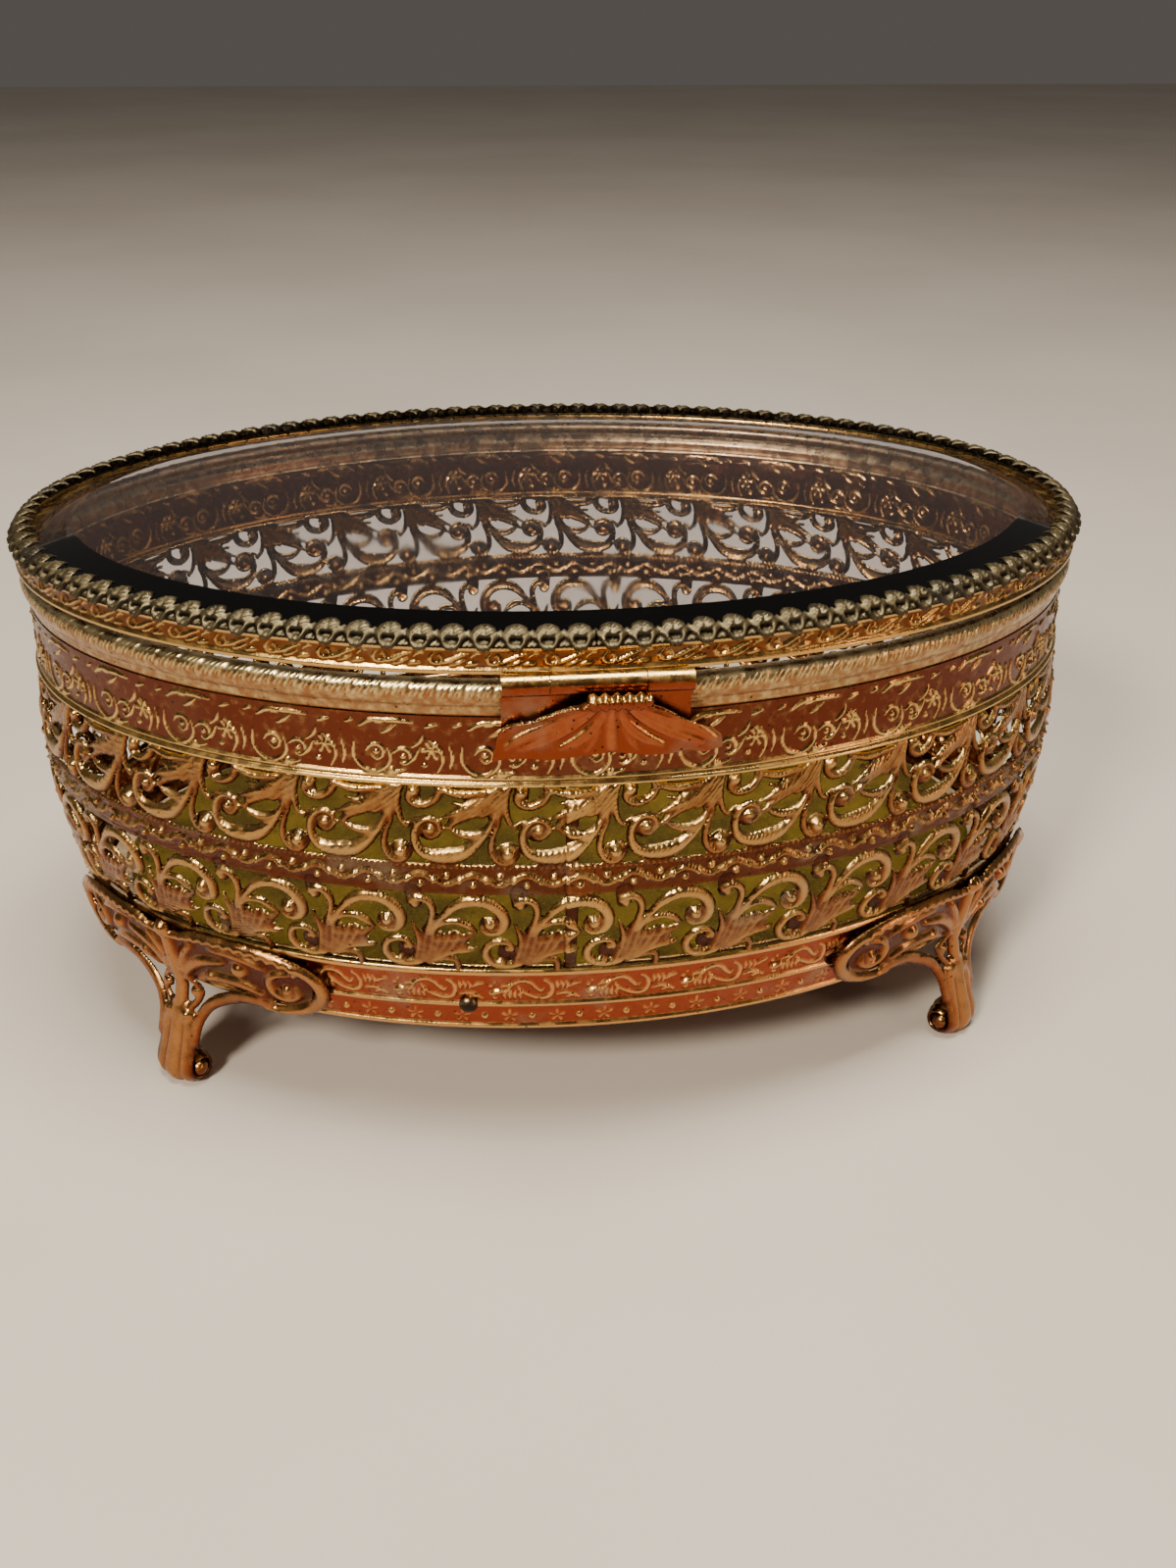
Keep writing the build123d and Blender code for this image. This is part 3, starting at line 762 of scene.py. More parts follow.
@dataclass(frozen=True)
class GiltMetal:
    """Old gilding over pressed brass.

    hollow is the dark copper of low relief, painted shade laid over the copper of the recesses; face the
    colour of flat places; high the pale gold of painted highlight on what faces up and, on the ridges, of
    rubbed wear and painted highlight together; and grime the dark film that has gathered in specks.
    """

    name: str
    hollow: str = "#5a1c0c"
    face: str = "#a4552a"
    high: str = "#e8c274"
    grime: str = "#2a1a12"
    rise_mm: float = 0.9
    top_highlight_share: float = 0.9
    roughness: tuple[float, float] = (0.15, 0.36)
    grain_mm: float = 0.3
    grain: float = 0.5
    specks: float = 0.75
    hatch_mm: float = 0.0
    patina: str = "#8f8368"
    patina_share: float = 0.35
    crest_share: float = 0.45

    def material(self) -> bpy.types.Material:
        """Builds the node tree.

        Returns:
            The material.
        """
        t = Tree(self.name)
        relief = t.add("ShaderNodeAttribute", attribute_name="relief").outputs["Fac"]
        cloud = t.noise(9.0, 5.0)
        fine = t.noise(1.3, 3.0)
        # Painted shade: low relief turns from face towards hollow, the shade of the recesses painted over
        # their copper
        level = t.ramp(t.maths("ADD", relief, t.maths("MULTIPLY", fine, 0.3)), 0.12, self.rise_mm + 0.2)
        # Ridges: the highest relief turns towards high, partly rubbed wear and partly painted highlight
        crest = t.ramp(
            t.maths("ADD", relief, t.maths("MULTIPLY", fine, 0.35)),
            0.8 * self.rise_mm,
            1.35 * self.rise_mm + 0.2,
        )
        colour = t.mix(level, linear(self.hollow), linear(self.face))
        # Painted highlight: what faces up turns towards high, as if lit from above
        normal = t.add("ShaderNodeNewGeometry").outputs["Normal"]
        upward = t.add("ShaderNodeSeparateXYZ", {"Vector": normal}).outputs["Z"]
        lit = t.maths("ADD", upward, t.maths("MULTIPLY", t.maths("SUBTRACT", fine, 0.5), 0.7))
        painted_top_light = t.ramp(lit, 0.08, 0.8, (0.0, self.top_highlight_share))
        # high is laid where the painted top highlight or the crest, wear and highlight together, is stronger
        highlight_and_wear = t.maths("MAXIMUM", painted_top_light, t.maths("MULTIPLY", crest, self.crest_share))
        colour = t.mix(highlight_and_wear, colour, linear(self.high))
        greyed = t.ramp(cloud, 0.52, 0.72, (0.0, self.patina_share))
        colour = t.mix(greyed, colour, linear(self.patina))
        spots = t.add(
            "ShaderNodeTexVoronoi", {"Vector": t.coords(), "Scale": 1.0 / (1.6 * MM), "Randomness": 1.0}
        )
        dark = t.ramp(
            t.maths("ADD", spots.outputs["Distance"], t.maths("MULTIPLY", fine, 0.45)),
            0.27,
            0.36,
            (self.specks, 0.0),
        )
        colour = t.mix(dark, colour, linear(self.grime))
        rough = t.ramp(t.noise(3.0, 4.0), 0.3, 0.7, self.roughness)
        rough = t.maths("ADD", rough, t.maths("MULTIPLY", dark, 0.4))
        grain = t.noise(self.grain_mm, 3.0, 0.6)
        bump = t.add("ShaderNodeBump", {"Strength": self.grain, "Distance": 0.06 * MM, "Height": grain})
        if self.hatch_mm:
            wave = t.add(
                "ShaderNodeTexWave",
                {
                    "Vector": t.coords(), "Scale": 0.32 / (self.hatch_mm * MM), "Distortion": 4.0,
                    "Detail": 2.0,
                },
                bands_direction="DIAGONAL",
            )
            bump = t.add(
                "ShaderNodeBump",
                {
                    "Strength": 0.35, "Distance": 0.12 * MM, "Height": wave.outputs["Fac"],
                    "Normal": bump.outputs["Normal"],
                },
            )
        shader = t.add(
            "ShaderNodeBsdfPrincipled",
            {
                "Base Color": colour,
                "Metallic": 1.0,
                "Roughness": rough,
                "Normal": bump.outputs["Normal"],
                "Coat Weight": 0.12,
                "Coat Roughness": 0.25,
            },
        )
        return t.finish(shader.outputs["BSDF"])


@dataclass(frozen=True)
class ClearGlass:
    """Polished plate glass with the faint violet of an old bevelled sheet."""

    name: str = "bevelled_glass"
    tint: str = "#f1eef4"

    def material(self) -> bpy.types.Material:
        """Builds the node tree: clear to shadows, so that light reaches the lining.

        Returns:
            The material.
        """
        t = Tree(self.name)
        smear = t.add(
            "ShaderNodeBump", {"Strength": 0.02, "Distance": 0.05 * MM, "Height": t.noise(6.0, 2.0)}
        )
        glass = t.add(
            "ShaderNodeBsdfPrincipled",
            {
                "Base Color": linear(self.tint),
                "Roughness": t.ramp(t.noise(14.0, 4.0), 0.4, 0.8, (0.0, 0.05)),
                "IOR": 1.52,
                "Transmission Weight": 1.0,
                "Normal": smear.outputs["Normal"],
            },
        )
        clear = t.add("ShaderNodeBsdfTransparent", {"Color": linear("#e9e6ee")})
        shadow = t.add("ShaderNodeLightPath").outputs["Is Shadow Ray"]
        both = t.add("ShaderNodeMixShader", {0: shadow, 1: glass.outputs[0], 2: clear.outputs[0]})
        return t.finish(both.outputs[0])


@dataclass(frozen=True)
class Velvet:
    """Short-pile olive-gold velvet: dark straight on, pale where the pile is seen from the side."""

    name: str = "gold_velvet"
    pile: str = "#4e3f05"
    shade: str = "#281d01"

    def material(self) -> bpy.types.Material:
        """Builds the node tree.

        Returns:
            The material.
        """
        t = Tree(self.name)
        brushed = t.ramp(t.noise(11.0, 3.0), 0.35, 0.7)
        colour = t.mix(brushed, linear(self.shade), linear(self.pile))
        colour = t.mix(t.ramp(t.noise(0.5, 2.0), 0.3, 0.8, (0.0, 0.35)), colour, linear("#6c5e16"))
        pile = t.noise(0.22, 2.0, 0.7)
        bump = t.add("ShaderNodeBump", {"Strength": 0.7, "Distance": 0.25 * MM, "Height": pile})
        shader = t.add(
            "ShaderNodeBsdfPrincipled",
            {
                "Base Color": colour,
                "Roughness": 0.9,
                "Normal": bump.outputs["Normal"],
                "Specular IOR Level": 0.15,
                "Sheen Weight": 0.06,
                "Sheen Roughness": 0.4,
                "Sheen Tint": linear("#a89a30"),
            },
        )
        return t.finish(shader.outputs["BSDF"])


@dataclass(frozen=True)
class Matt:
    """A plain unpolished surface with a little unevenness: card, or the floor that the casket stands on."""

    name: str
    colour: str
    second: str
    size_mm: float
    roughness: float = 0.85

    def material(self) -> bpy.types.Material:
        """Builds the node tree.

        Returns:
            The material.
        """
        t = Tree(self.name)
        colour = t.mix(t.ramp(t.noise(self.size_mm, 4.0), 0.3, 0.7), linear(self.colour), linear(self.second))
        bump = t.add("ShaderNodeBump", {"Strength": 0.1, "Distance": 0.1 * MM, "Height": t.noise(0.8, 3.0)})
        sockets = {"Base Color": colour, "Roughness": self.roughness, "Normal": bump.outputs["Normal"]}
        return t.finish(t.add("ShaderNodeBsdfPrincipled", sockets).outputs["BSDF"])


class Finish(Enum):
    """Every finish of the casket, and the record's material slot that it belongs to."""

    # Pressed brass, gilded: deep copper-brown hollows darkened as painted shade make the scrolls stand out;
    # pale gold on their crests, partly rubbed wear and partly painted highlight, and painted highlight on what
    # faces up
    FILIGREE = (
        "gilt_brass",
        GiltMetal("gilt_brass_filigree", hollow="#350f06", face="#753e1c", top_highlight_share=0.8, hatch_mm=0.4),
    )
    # Stamped brass, gilded and much handled: redder and duller than the wall, with brown patina in clouds
    LEG = ("gilt_brass", GiltMetal("gilt_brass_leg", hollow="#3e140a", face="#7e401f", high="#d8aa66",
                                   patina="#5e4e34", patina_share=0.45, top_highlight_share=0.55, crest_share=0.3))
    # Engraved strip: dark copper ground on which the fine raised lines catch the light
    BAND = (
        "gilt_brass",
        GiltMetal(
            "gilt_brass_band",
            hollow="#5e2a18",
            face="#76462a",
            rise_mm=0.22,
            crest_share=0.75,
            patina="#6a4a34",
        ),
    )
    # Engraved strip near the ground: the reddest gilding, its red a painted reflection of a red ground below
    BASE = (
        "gilt_brass",
        GiltMetal("gilt_brass_base", hollow="#86381c", face="#a2572c", rise_mm=0.3, crest_share=0.4),
    )
    # Engraved strip of the lid: yellower and cleaner than the body's bands
    LID_BAND = (
        "gilt_brass",
        GiltMetal("gilt_brass_lid_band", hollow="#643616", face="#8a5c2c", rise_mm=0.22, crest_share=0.5),
    )
    # Soldered leaf and knuckles: orange copper, the orange a painted reflection of a red ground, strewn with
    # dark specks
    HINGE = (
        "gilt_brass",
        GiltMetal(
            "gilt_brass_hinge",
            hollow="#7c3416",
            face="#984c28",
            rise_mm=0.5,
            specks=0.95,
            crest_share=0.1,
            top_highlight_share=0.8,
        ),
    )
    # Corroded gilding of the gallery: greyish and rough, gold only on the leaves' tops as painted highlight on
    # what faces up, with near-black painted shade in the pits
    AGED = (
        "aged_gilt",
        GiltMetal(
            "aged_gilt",
            hollow="#0f0d0b",
            face="#3c3628",
            high="#756a50",
            patina="#4a4844",
            patina_share=0.7,
            grain=1.0,
            rise_mm=0.6,
            roughness=(0.38, 0.6),
            crest_share=0.2,
        ),
    )
    # Rolled edge: pale satin gold with light scratches, partly rubbed bright and partly painted highlight on
    # what faces up
    RIM = (
        "aged_gilt",
        GiltMetal(
            "aged_gilt_rim",
            hollow="#8a5a30",
            face="#b39a5c",
            high="#f6e8b4",
            patina="#94865a",
            patina_share=0.3,
            rise_mm=0.1,
            crest_share=0.3,
            roughness=(0.2, 0.4),
        ),
    )
    # Darkened brass heads, which show as small dark dots
    RIVET = (
        "dark_brass",
        GiltMetal("dark_brass", hollow="#2a1a10", face="#4a3626", high="#8c7c60", patina_share=0.6),
    )
    # Drawn brass wire, the brightest metal, seen only at its ends
    PIN = ("pin_brass", GiltMetal("pin_brass", hollow="#8a5a2a", face="#b88746", high="#e8cf90"))
    # Clear plate glass: sharp reflections and a dark line along its ground bevel
    GLASS = ("bevelled_glass", ClearGlass())
    # Short olive pile: soft and lightless, so the metal in front of it shines
    VELVET = ("gold_velvet", Velvet())
    # Plain card under the lining, dull and pale
    CARD = ("card", Matt("card", "#77664a", "#8a7857", 2.0))


class Palette:
    """Makes each finish once."""

    def __init__(self) -> None:
        """Starts with nothing made."""
        self.made: dict[Finish, bpy.types.Material] = {}

    def get(self, finish: Finish) -> bpy.types.Material:
        """The finish's material, made when it is first asked for.

        Args:
            finish: the finish.

        Returns:
            Its material.
        """
        if finish not in self.made:
            self.made[finish] = finish.value[1].material()
        return self.made[finish]

    def dress(self, obj: bpy.types.Object, finish: Finish) -> None:
        """Gives a piece its finish, and a new piece its material slot too.

        Args:
            obj: the piece.
            finish: the finish.
        """
        obj.data.materials.clear()
        obj.data.materials.append(self.get(finish))


@dataclass
class Maker:
    """What every sub-assembly needs to report and dress its pieces."""

    palette: Palette

    def add(self, obj: bpy.types.Object, body: Body, finish: Finish, *nodes: str) -> bpy.types.Object:
        """Dresses a new piece, sets it on its body and reports it.

        Args:
            obj: the piece.
            body: the body it rides on.
            finish: its finish.
            nodes: CAD nodes that it stands for.

        Returns:
            The piece.
        """
        self.palette.dress(obj, finish)
        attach(obj, body.value)
        if nodes:
            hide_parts(*nodes)
        log.info("%s: %d faces", obj.name, len(obj.data.polygons))
        return obj

    def add_strip(self, pieces: Sequence[bpy.types.Object], body: Body, finish: Finish, node: str) -> None:
        """Adds the pieces of a strip, the first of which stands for its CAD node.

        Args:
            pieces: the pieces.
            body: the body they ride on.
            finish: their finish.
            node: the CAD node.
        """
        self.add(pieces[0], body, finish, node)
        for piece in pieces[1:]:
            self.add(piece, body, finish)

    def keep(self, node: str, finish: Finish) -> None:
        """Keeps a CAD node and gives it its finish."""
        self.palette.dress(frame["nodes"][node], finish)
        log.info("%s kept from the CAD", node)


# ---- Filigree wall -------------------------------------------------------------------------------
@dataclass
class FiligreeWall(Maker):
    """The pierced wall: a row of scrolls, an engraved band, and a row of arches over leaf fans."""

    cell: float = 0.285
    sheet: float = 0.55
    parts: int = 8
    seam: float = -4.2
    fullness: float = 1.14
    inset: float = 0.45
    band_middle: float = 50.25
    dot_pitch: float = 0.88
    tab_middle: float = 0.9
    tab_half: float = 0.95

    def full(self, item: Stroke) -> Stroke:
        """The same stroke, wider, as the pressed scrolls are fuller than their centre drawing."""
        return Stroke(
            item.path,
            [self.fullness * width for width in item.widths],
            item.rise,
            item.vein,
            item.hatch,
            item.lift,
        )

    def upper_row(self, tile: Drawing) -> None:
        """Draws the upper scrolls: C-curl, lens leaves, acanthus trunk, crescent scroll and J-hook.

        Args:
            tile: the drawing to add to.
        """
        web = 0.25
        for item in (
            Stroke([(-13.9, 65.4), (-14.2, 63.2), (-14.5, 61.2), (-14.3, 59.4)], [1.3, 1.5, 1.1, 0.5], web),
            Stroke([(-15.0, 64.6), (-17.2, 62.4), (-19.2, 61.2), (-21.2, 59.2)], [0.8, 1.2, 1.0, 0.4], web),
            Stroke([(-10.6, 65.2), (-10.6, 63.0)], [1.0, 0.9], web),
            Stroke([(-9.2, 65.6), (-13.4, 65.6)], [0.6, 0.6], web),
            Stroke([(-8.2, 58.4), (-8.4, 58.3)], [1.5, 1.5], web),
            Stroke([(-12.6, 54.8), (-13.0, 54.6)], [1.5, 1.5], web),
            # C-curl under the ball
            Stroke(
                [
                    (-11.4, 64.4), (-11.3, 63.0), (-10.2, 62.2), (-8.7, 62.3), (-7.4, 63.1), (-6.8, 64.3),
                    (-7.2, 65.4),
                ],
                [0.3, 0.5, 0.6, 0.65, 0.65, 0.6, 0.45],
                0.9,
            ),
            # lens leaf and the thin leaf under it
            Stroke(
                [(-22.0, 64.5), (-20.6, 64.1), (-19.0, 63.95), (-17.2, 64.2), (-15.4, 64.6)],
                [0.45, 0.65, 0.7, 0.5, 0.2],
                1.0,
            ),
            Stroke(
                [(-20.9, 62.5), (-19.2, 62.4), (-17.6, 62.9), (-16.0, 63.8), (-14.6, 64.8)],
                [0.15, 0.32, 0.34, 0.36, 0.4],
                0.8,
            ),
            # acanthus leaves that fan down to the left
            Stroke(
                [(-13.9, 65.2), (-15.6, 63.3), (-17.6, 62.0), (-19.8, 61.3), (-22.4, 60.1)],
                [0.4, 0.5, 0.6, 0.6, 0.15],
                0.95,
            ),
            Stroke(
                [(-13.6, 65.0), (-15.4, 62.6), (-17.2, 61.2), (-19.4, 60.4), (-22.5, 58.2)],
                [0.3, 0.45, 0.6, 0.7, 0.15],
                0.85,
            ),
            Stroke([(-13.3, 64.8), (-14.6, 62.6), (-15.6, 61.2), (-16.6, 60.6)], [0.3, 0.4, 0.45, 0.3], 0.9),
            Stroke([(-13.1, 65.0), (-14.0, 62.6), (-14.6, 60.8), (-15.0, 59.6)], [0.3, 0.4, 0.4, 0.3], 0.95),
            Stroke([(-12.7, 65.2), (-13.4, 62.8), (-13.9, 60.9), (-14.0, 59.6)], [0.35, 0.4, 0.38, 0.3], 0.9),
            Stroke(
                [(-12.2, 65.2), (-12.8, 63.2), (-12.8, 61.2), (-12.4, 59.8), (-11.5, 58.8)],
                [0.35, 0.42, 0.45, 0.42, 0.3],
                1.0,
            ),
            # J-hook
            Stroke(
                [
                    (-13.9, 59.6), (-14.7, 58.0), (-15.1, 56.3), (-14.9, 54.7), (-14.0, 53.5), (-12.7, 53.3),
                    (-11.7, 53.9),
                ],
                [0.3, 0.42, 0.5, 0.55, 0.55, 0.5, 0.35],
                0.9,
            ),
            # stem to the next scroll
            Stroke([(-11.5, 58.9), (-11.0, 59.6), (-10.2, 60.0)], [0.3, 0.3, 0.3], 0.7),
            # crescent scroll round its ball
            Stroke(
                [
                    (-9.3, 58.6), (-8.9, 57.6), (-8.0, 57.3), (-7.1, 57.8), (-6.7, 58.8), (-7.2, 59.8),
                    (-8.4, 60.2), (-9.7, 59.6), (-10.5, 58.1), (-10.4, 56.3), (-9.5, 54.9), (-7.9, 54.3),
                    (-5.7, 54.3), (-3.7, 54.8), (-2.1, 55.9), (-0.8, 57.2), (0.1, 58.4), (0.7, 59.6),
                ],
                [
                    0.15, 0.2, 0.25, 0.3, 0.35, 0.4, 0.45, 0.5, 0.55, 0.65, 0.85, 1.05, 1.25, 1.15, 0.9, 0.65,
                    0.5, 0.35,
                ],
                1.15,
                hatch=0.16,
            ),
            # small inner leaf
            Stroke([(-21.4, 59.0), (-20.2, 58.2), (-18.6, 57.7), (-17.0, 58.0), (-15.8, 58.9), (-15.2, 59.8)],
                   [0.15, 0.5, 0.65, 0.55, 0.35, 0.3], 0.95),
        ):
            tile.stroke(self.full(item))
        tile.ball(-10.55, 64.25, 0.95, 1.05, 0.25)
        tile.ball(-8.2, 58.55, 0.78, 1.0, 0.25)
        tile.ball(-12.7, 54.85, 1.05, 1.1, 0.25)

    def lower_row(self, tile: Drawing) -> None:
        """Draws the lower row: hooks, big arches ending in balls, teardrop leaves, rings and leaf fans.

        Args:
            tile: the drawing to add to.
        """
        web = 0.2
        for item in (
            Stroke([(-10.9, 33.6), (-10.2, 36.0), (-9.6, 38.6), (-9.2, 41.0)], [1.6, 1.6, 1.3, 0.7], web),
            Stroke([(-9.4, 33.8), (-7.6, 36.0), (-6.2, 38.4), (-5.2, 39.3)], [1.2, 1.6, 1.2, 0.8], web),
            Stroke([(-11.2, 45.6), (-11.2, 47.8)], [1.0, 1.2], web),
            Stroke([(-13.2, 35.6), (-13.4, 34.9)], [1.3, 1.2], web - 0.05),
            Stroke([(-15.6, 41.6), (-15.5, 41.4)], [1.5, 1.4], web),
            # hook and its ball
            Stroke(
                [
                    (-9.6, 40.2), (-8.9, 42.3), (-8.5, 44.2), (-8.8, 45.8), (-9.8, 46.7), (-11.1, 46.7),
                    (-11.9, 46.0),
                ],
                [0.35, 0.5, 0.55, 0.62, 0.62, 0.55, 0.4],
                1.0,
            ),
            # big arch
            Stroke(
                [
                    (-24.6, 40.8), (-23.4, 42.6), (-22.2, 44.0), (-21.0, 45.3), (-19.4, 46.2), (-17.4, 46.45),
                    (-15.5, 45.9), (-14.1, 44.5), (-13.5, 42.7), (-13.8, 41.1), (-14.9, 40.3), (-16.2, 40.3),
                    (-17.0, 41.0),
                ],
                [0.3, 0.45, 0.6, 0.8, 0.95, 1.0, 1.0, 0.95, 0.9, 0.8, 0.65, 0.5, 0.35],
                1.1,
                vein=0.12,
            ),
            # teardrop leaf
            Stroke(
                [(-25.0, 39.8), (-23.8, 41.2), (-22.4, 42.2), (-20.7, 42.45), (-19.1, 41.7), (-17.8, 40.4)],
                [0.35, 0.42, 0.5, 0.6, 0.6, 0.2],
                1.0,
            ),
            Stroke(
                [(-24.2, 38.2), (-22.6, 38.4), (-20.6, 38.6), (-19.0, 39.4), (-17.8, 40.3)],
                [0.5, 0.7, 0.7, 0.6, 0.2],
                0.75,
            ),
            # fan of leaf strokes
            Stroke(
                [(-11.9, 33.6), (-11.3, 36.0), (-11.0, 38.4), (-11.3, 40.2), (-11.9, 41.9)],
                [0.4, 0.5, 0.5, 0.42, 0.16],
                0.9,
            ),
            Stroke(
                [(-11.1, 33.4), (-10.3, 36.2), (-9.9, 38.6), (-9.5, 41.0)], [0.35, 0.42, 0.42, 0.35], 0.85
            ),
            Stroke(
                [(-10.5, 33.4), (-9.4, 36.0), (-8.9, 38.4), (-8.4, 40.4), (-7.4, 42.4)],
                [0.3, 0.4, 0.42, 0.4, 0.3],
                0.9,
            ),
            Stroke([(-9.9, 33.5), (-8.6, 36.0), (-7.9, 38.2), (-7.5, 39.9)], [0.3, 0.4, 0.42, 0.3], 0.85),
            Stroke([(-9.3, 33.7), (-7.8, 35.8), (-6.8, 37.8), (-6.1, 39.8)], [0.3, 0.42, 0.48, 0.35], 0.9),
            Stroke([(-8.8, 33.9), (-7.0, 35.6), (-5.7, 37.4), (-4.7, 39.7)], [0.3, 0.45, 0.55, 0.4], 0.9),
            Stroke([(-8.2, 34.2), (-6.2, 35.6), (-4.7, 37.0), (-3.6, 38.6)], [0.3, 0.4, 0.45, 0.35], 0.75),
            Stroke(
                [(-9.0, 33.7), (-7.2, 35.0), (-5.4, 35.9), (-3.7, 36.3), (-2.3, 36.5)],
                [0.3, 0.45, 0.6, 0.6, 0.25],
                1.0,
            ),
            Stroke([(-4.0, 36.9), (-3.4, 37.5)], [0.35, 0.2], 0.8),
            # tab at the fan's foot
            Stroke([(-10.0, 32.9), (-8.4, 33.7), (-6.8, 34.1), (-5.7, 33.8), (-5.3, 32.8), (-5.3, 31.2)],
                   [0.5, 0.55, 0.5, 0.5, 0.5, 0.55], 0.9),
            # ring round its ball
            Stroke(
                [
                    (-12.6, 35.9), (-12.3, 36.9), (-13.0, 38.0), (-14.2, 38.4), (-15.5, 37.9), (-16.4, 36.5),
                    (-16.5, 34.8), (-15.7, 33.4), (-14.4, 32.7), (-12.8, 32.7), (-11.2, 33.1),
                ],
                [0.2, 0.35, 0.45, 0.52, 0.58, 0.65, 0.72, 0.78, 0.8, 0.75, 0.6],
                1.1,
            ),
        ):
            tile.stroke(self.full(item))
        tile.ball(-11.0, 45.65, 0.75, 0.9, 0.2)
        tile.ball(-15.65, 42.1, 1.0, 1.1, 0.25)
        tile.ball(-13.15, 36.7, 0.6, 0.85, 0.25)
        tile.ball(-14.4, 33.3, 0.75, 0.8, 0.5)

    def middle_band(self, tile: Drawing) -> None:
        """Draws the engraved band between the rows: a double wave with a ball in each hollow, and fine dots.

        Args:
            tile: the drawing to add to.
        """
        tile.plate(47.65, 52.95, 0.35)
        half_turn = PITCH / 4
        for k in range(4):
            centre = -10.0 + k * half_turn
            sign = 1.0 if k % 2 == 0 else -1.0
            arc = np.linspace(-0.5, 0.5, 7)
            for offset in (0.0, -0.95 * sign):
                levels = self.band_middle + offset * 0.5 + sign * 1.05 * np.cos(np.pi * arc)
                points = list(zip(centre + arc * half_turn, levels))
                tile.engrave(Stroke(points, [0.32], 0.36))
            tile.engrave(
                Stroke([(centre, 50.2 - 0.75 * sign), (centre + 0.03, 50.2 - 0.75 * sign)], [0.58], 0.7)
            )
        dots = round(PITCH / self.dot_pitch)
        wave = np.clip(np.cos(2 * np.pi * dots * tile.grid_s / PITCH) + 0.3, 0, 1)
        wave *= np.clip(1 - ((tile.grid_v - 52.55) / 0.32) ** 2, 0, 1)
        tile.height += 0.45 * np.sqrt(wave)
        edge = np.clip(1 - ((tile.grid_v - 47.9) / 0.25) ** 2, 0, 1)
        tile.height += np.where(tile.height < 0.5, 0.12 * edge, 0.0)

    def seam_change(self, s: np.ndarray, v: np.ndarray, distance: np.ndarray, height: np.ndarray) -> tuple:
        """Adds the joint of the strip: a backing tab, and the one end lapped over the other.

        Args:
            s: distances round the strip.
            v: distances up it.
            distance: signed distance to the outline.
            height: the height field.

        Returns:
            The changed distance and height.
        """
        around = (s - self.seam + 0.5 * ROUND) % ROUND - 0.5 * ROUND
        tab = np.abs(around - self.tab_middle) - self.tab_half
        empty = (distance > 0) & (tab < 0)
        height = np.where(empty, -0.1, height)
        lap = 0.3 * np.exp(-np.clip(around, 0, None) / 6.0) * (around >= 0)
        groove = 0.35 * np.exp(-((around / 0.16) ** 2))
        return np.minimum(distance, tab), height + lap - groove

    def build(self) -> None:
        """Makes the wall in eight pieces."""
        tile = Drawing(PITCH, BASE_TOP, FILIGREE_TOP, self.cell)
        self.upper_row(tile)
        self.lower_row(tile)
        tile.soften()
        self.middle_band(tile)
        tile.plate(BASE_TOP, BASE_TOP + 0.7, 0.1)
        tile.plate(FILIGREE_TOP - 0.9, FILIGREE_TOP, 0.2)
        levels = np.linspace(BASE_TOP, FILIGREE_TOP, 40)
        rows = np.stack([*(filigree_half(levels, axis) - self.inset for axis in (0, 1)), levels], axis=1)
        stretch = (Profile(rows, BASE_TOP).lengths()[-1] - BASE_TOP) / (FILIGREE_TOP - BASE_TOP)
        place = StretchedProfile(rows, BASE_TOP, stretch).place
        pieces = banded_object("filigree", tile, REPEATS, self.parts, place, self.sheet, self.seam_change)
        self.add_strip(pieces, Body.CASKET, Finish.FILIGREE, "filigree_wall")


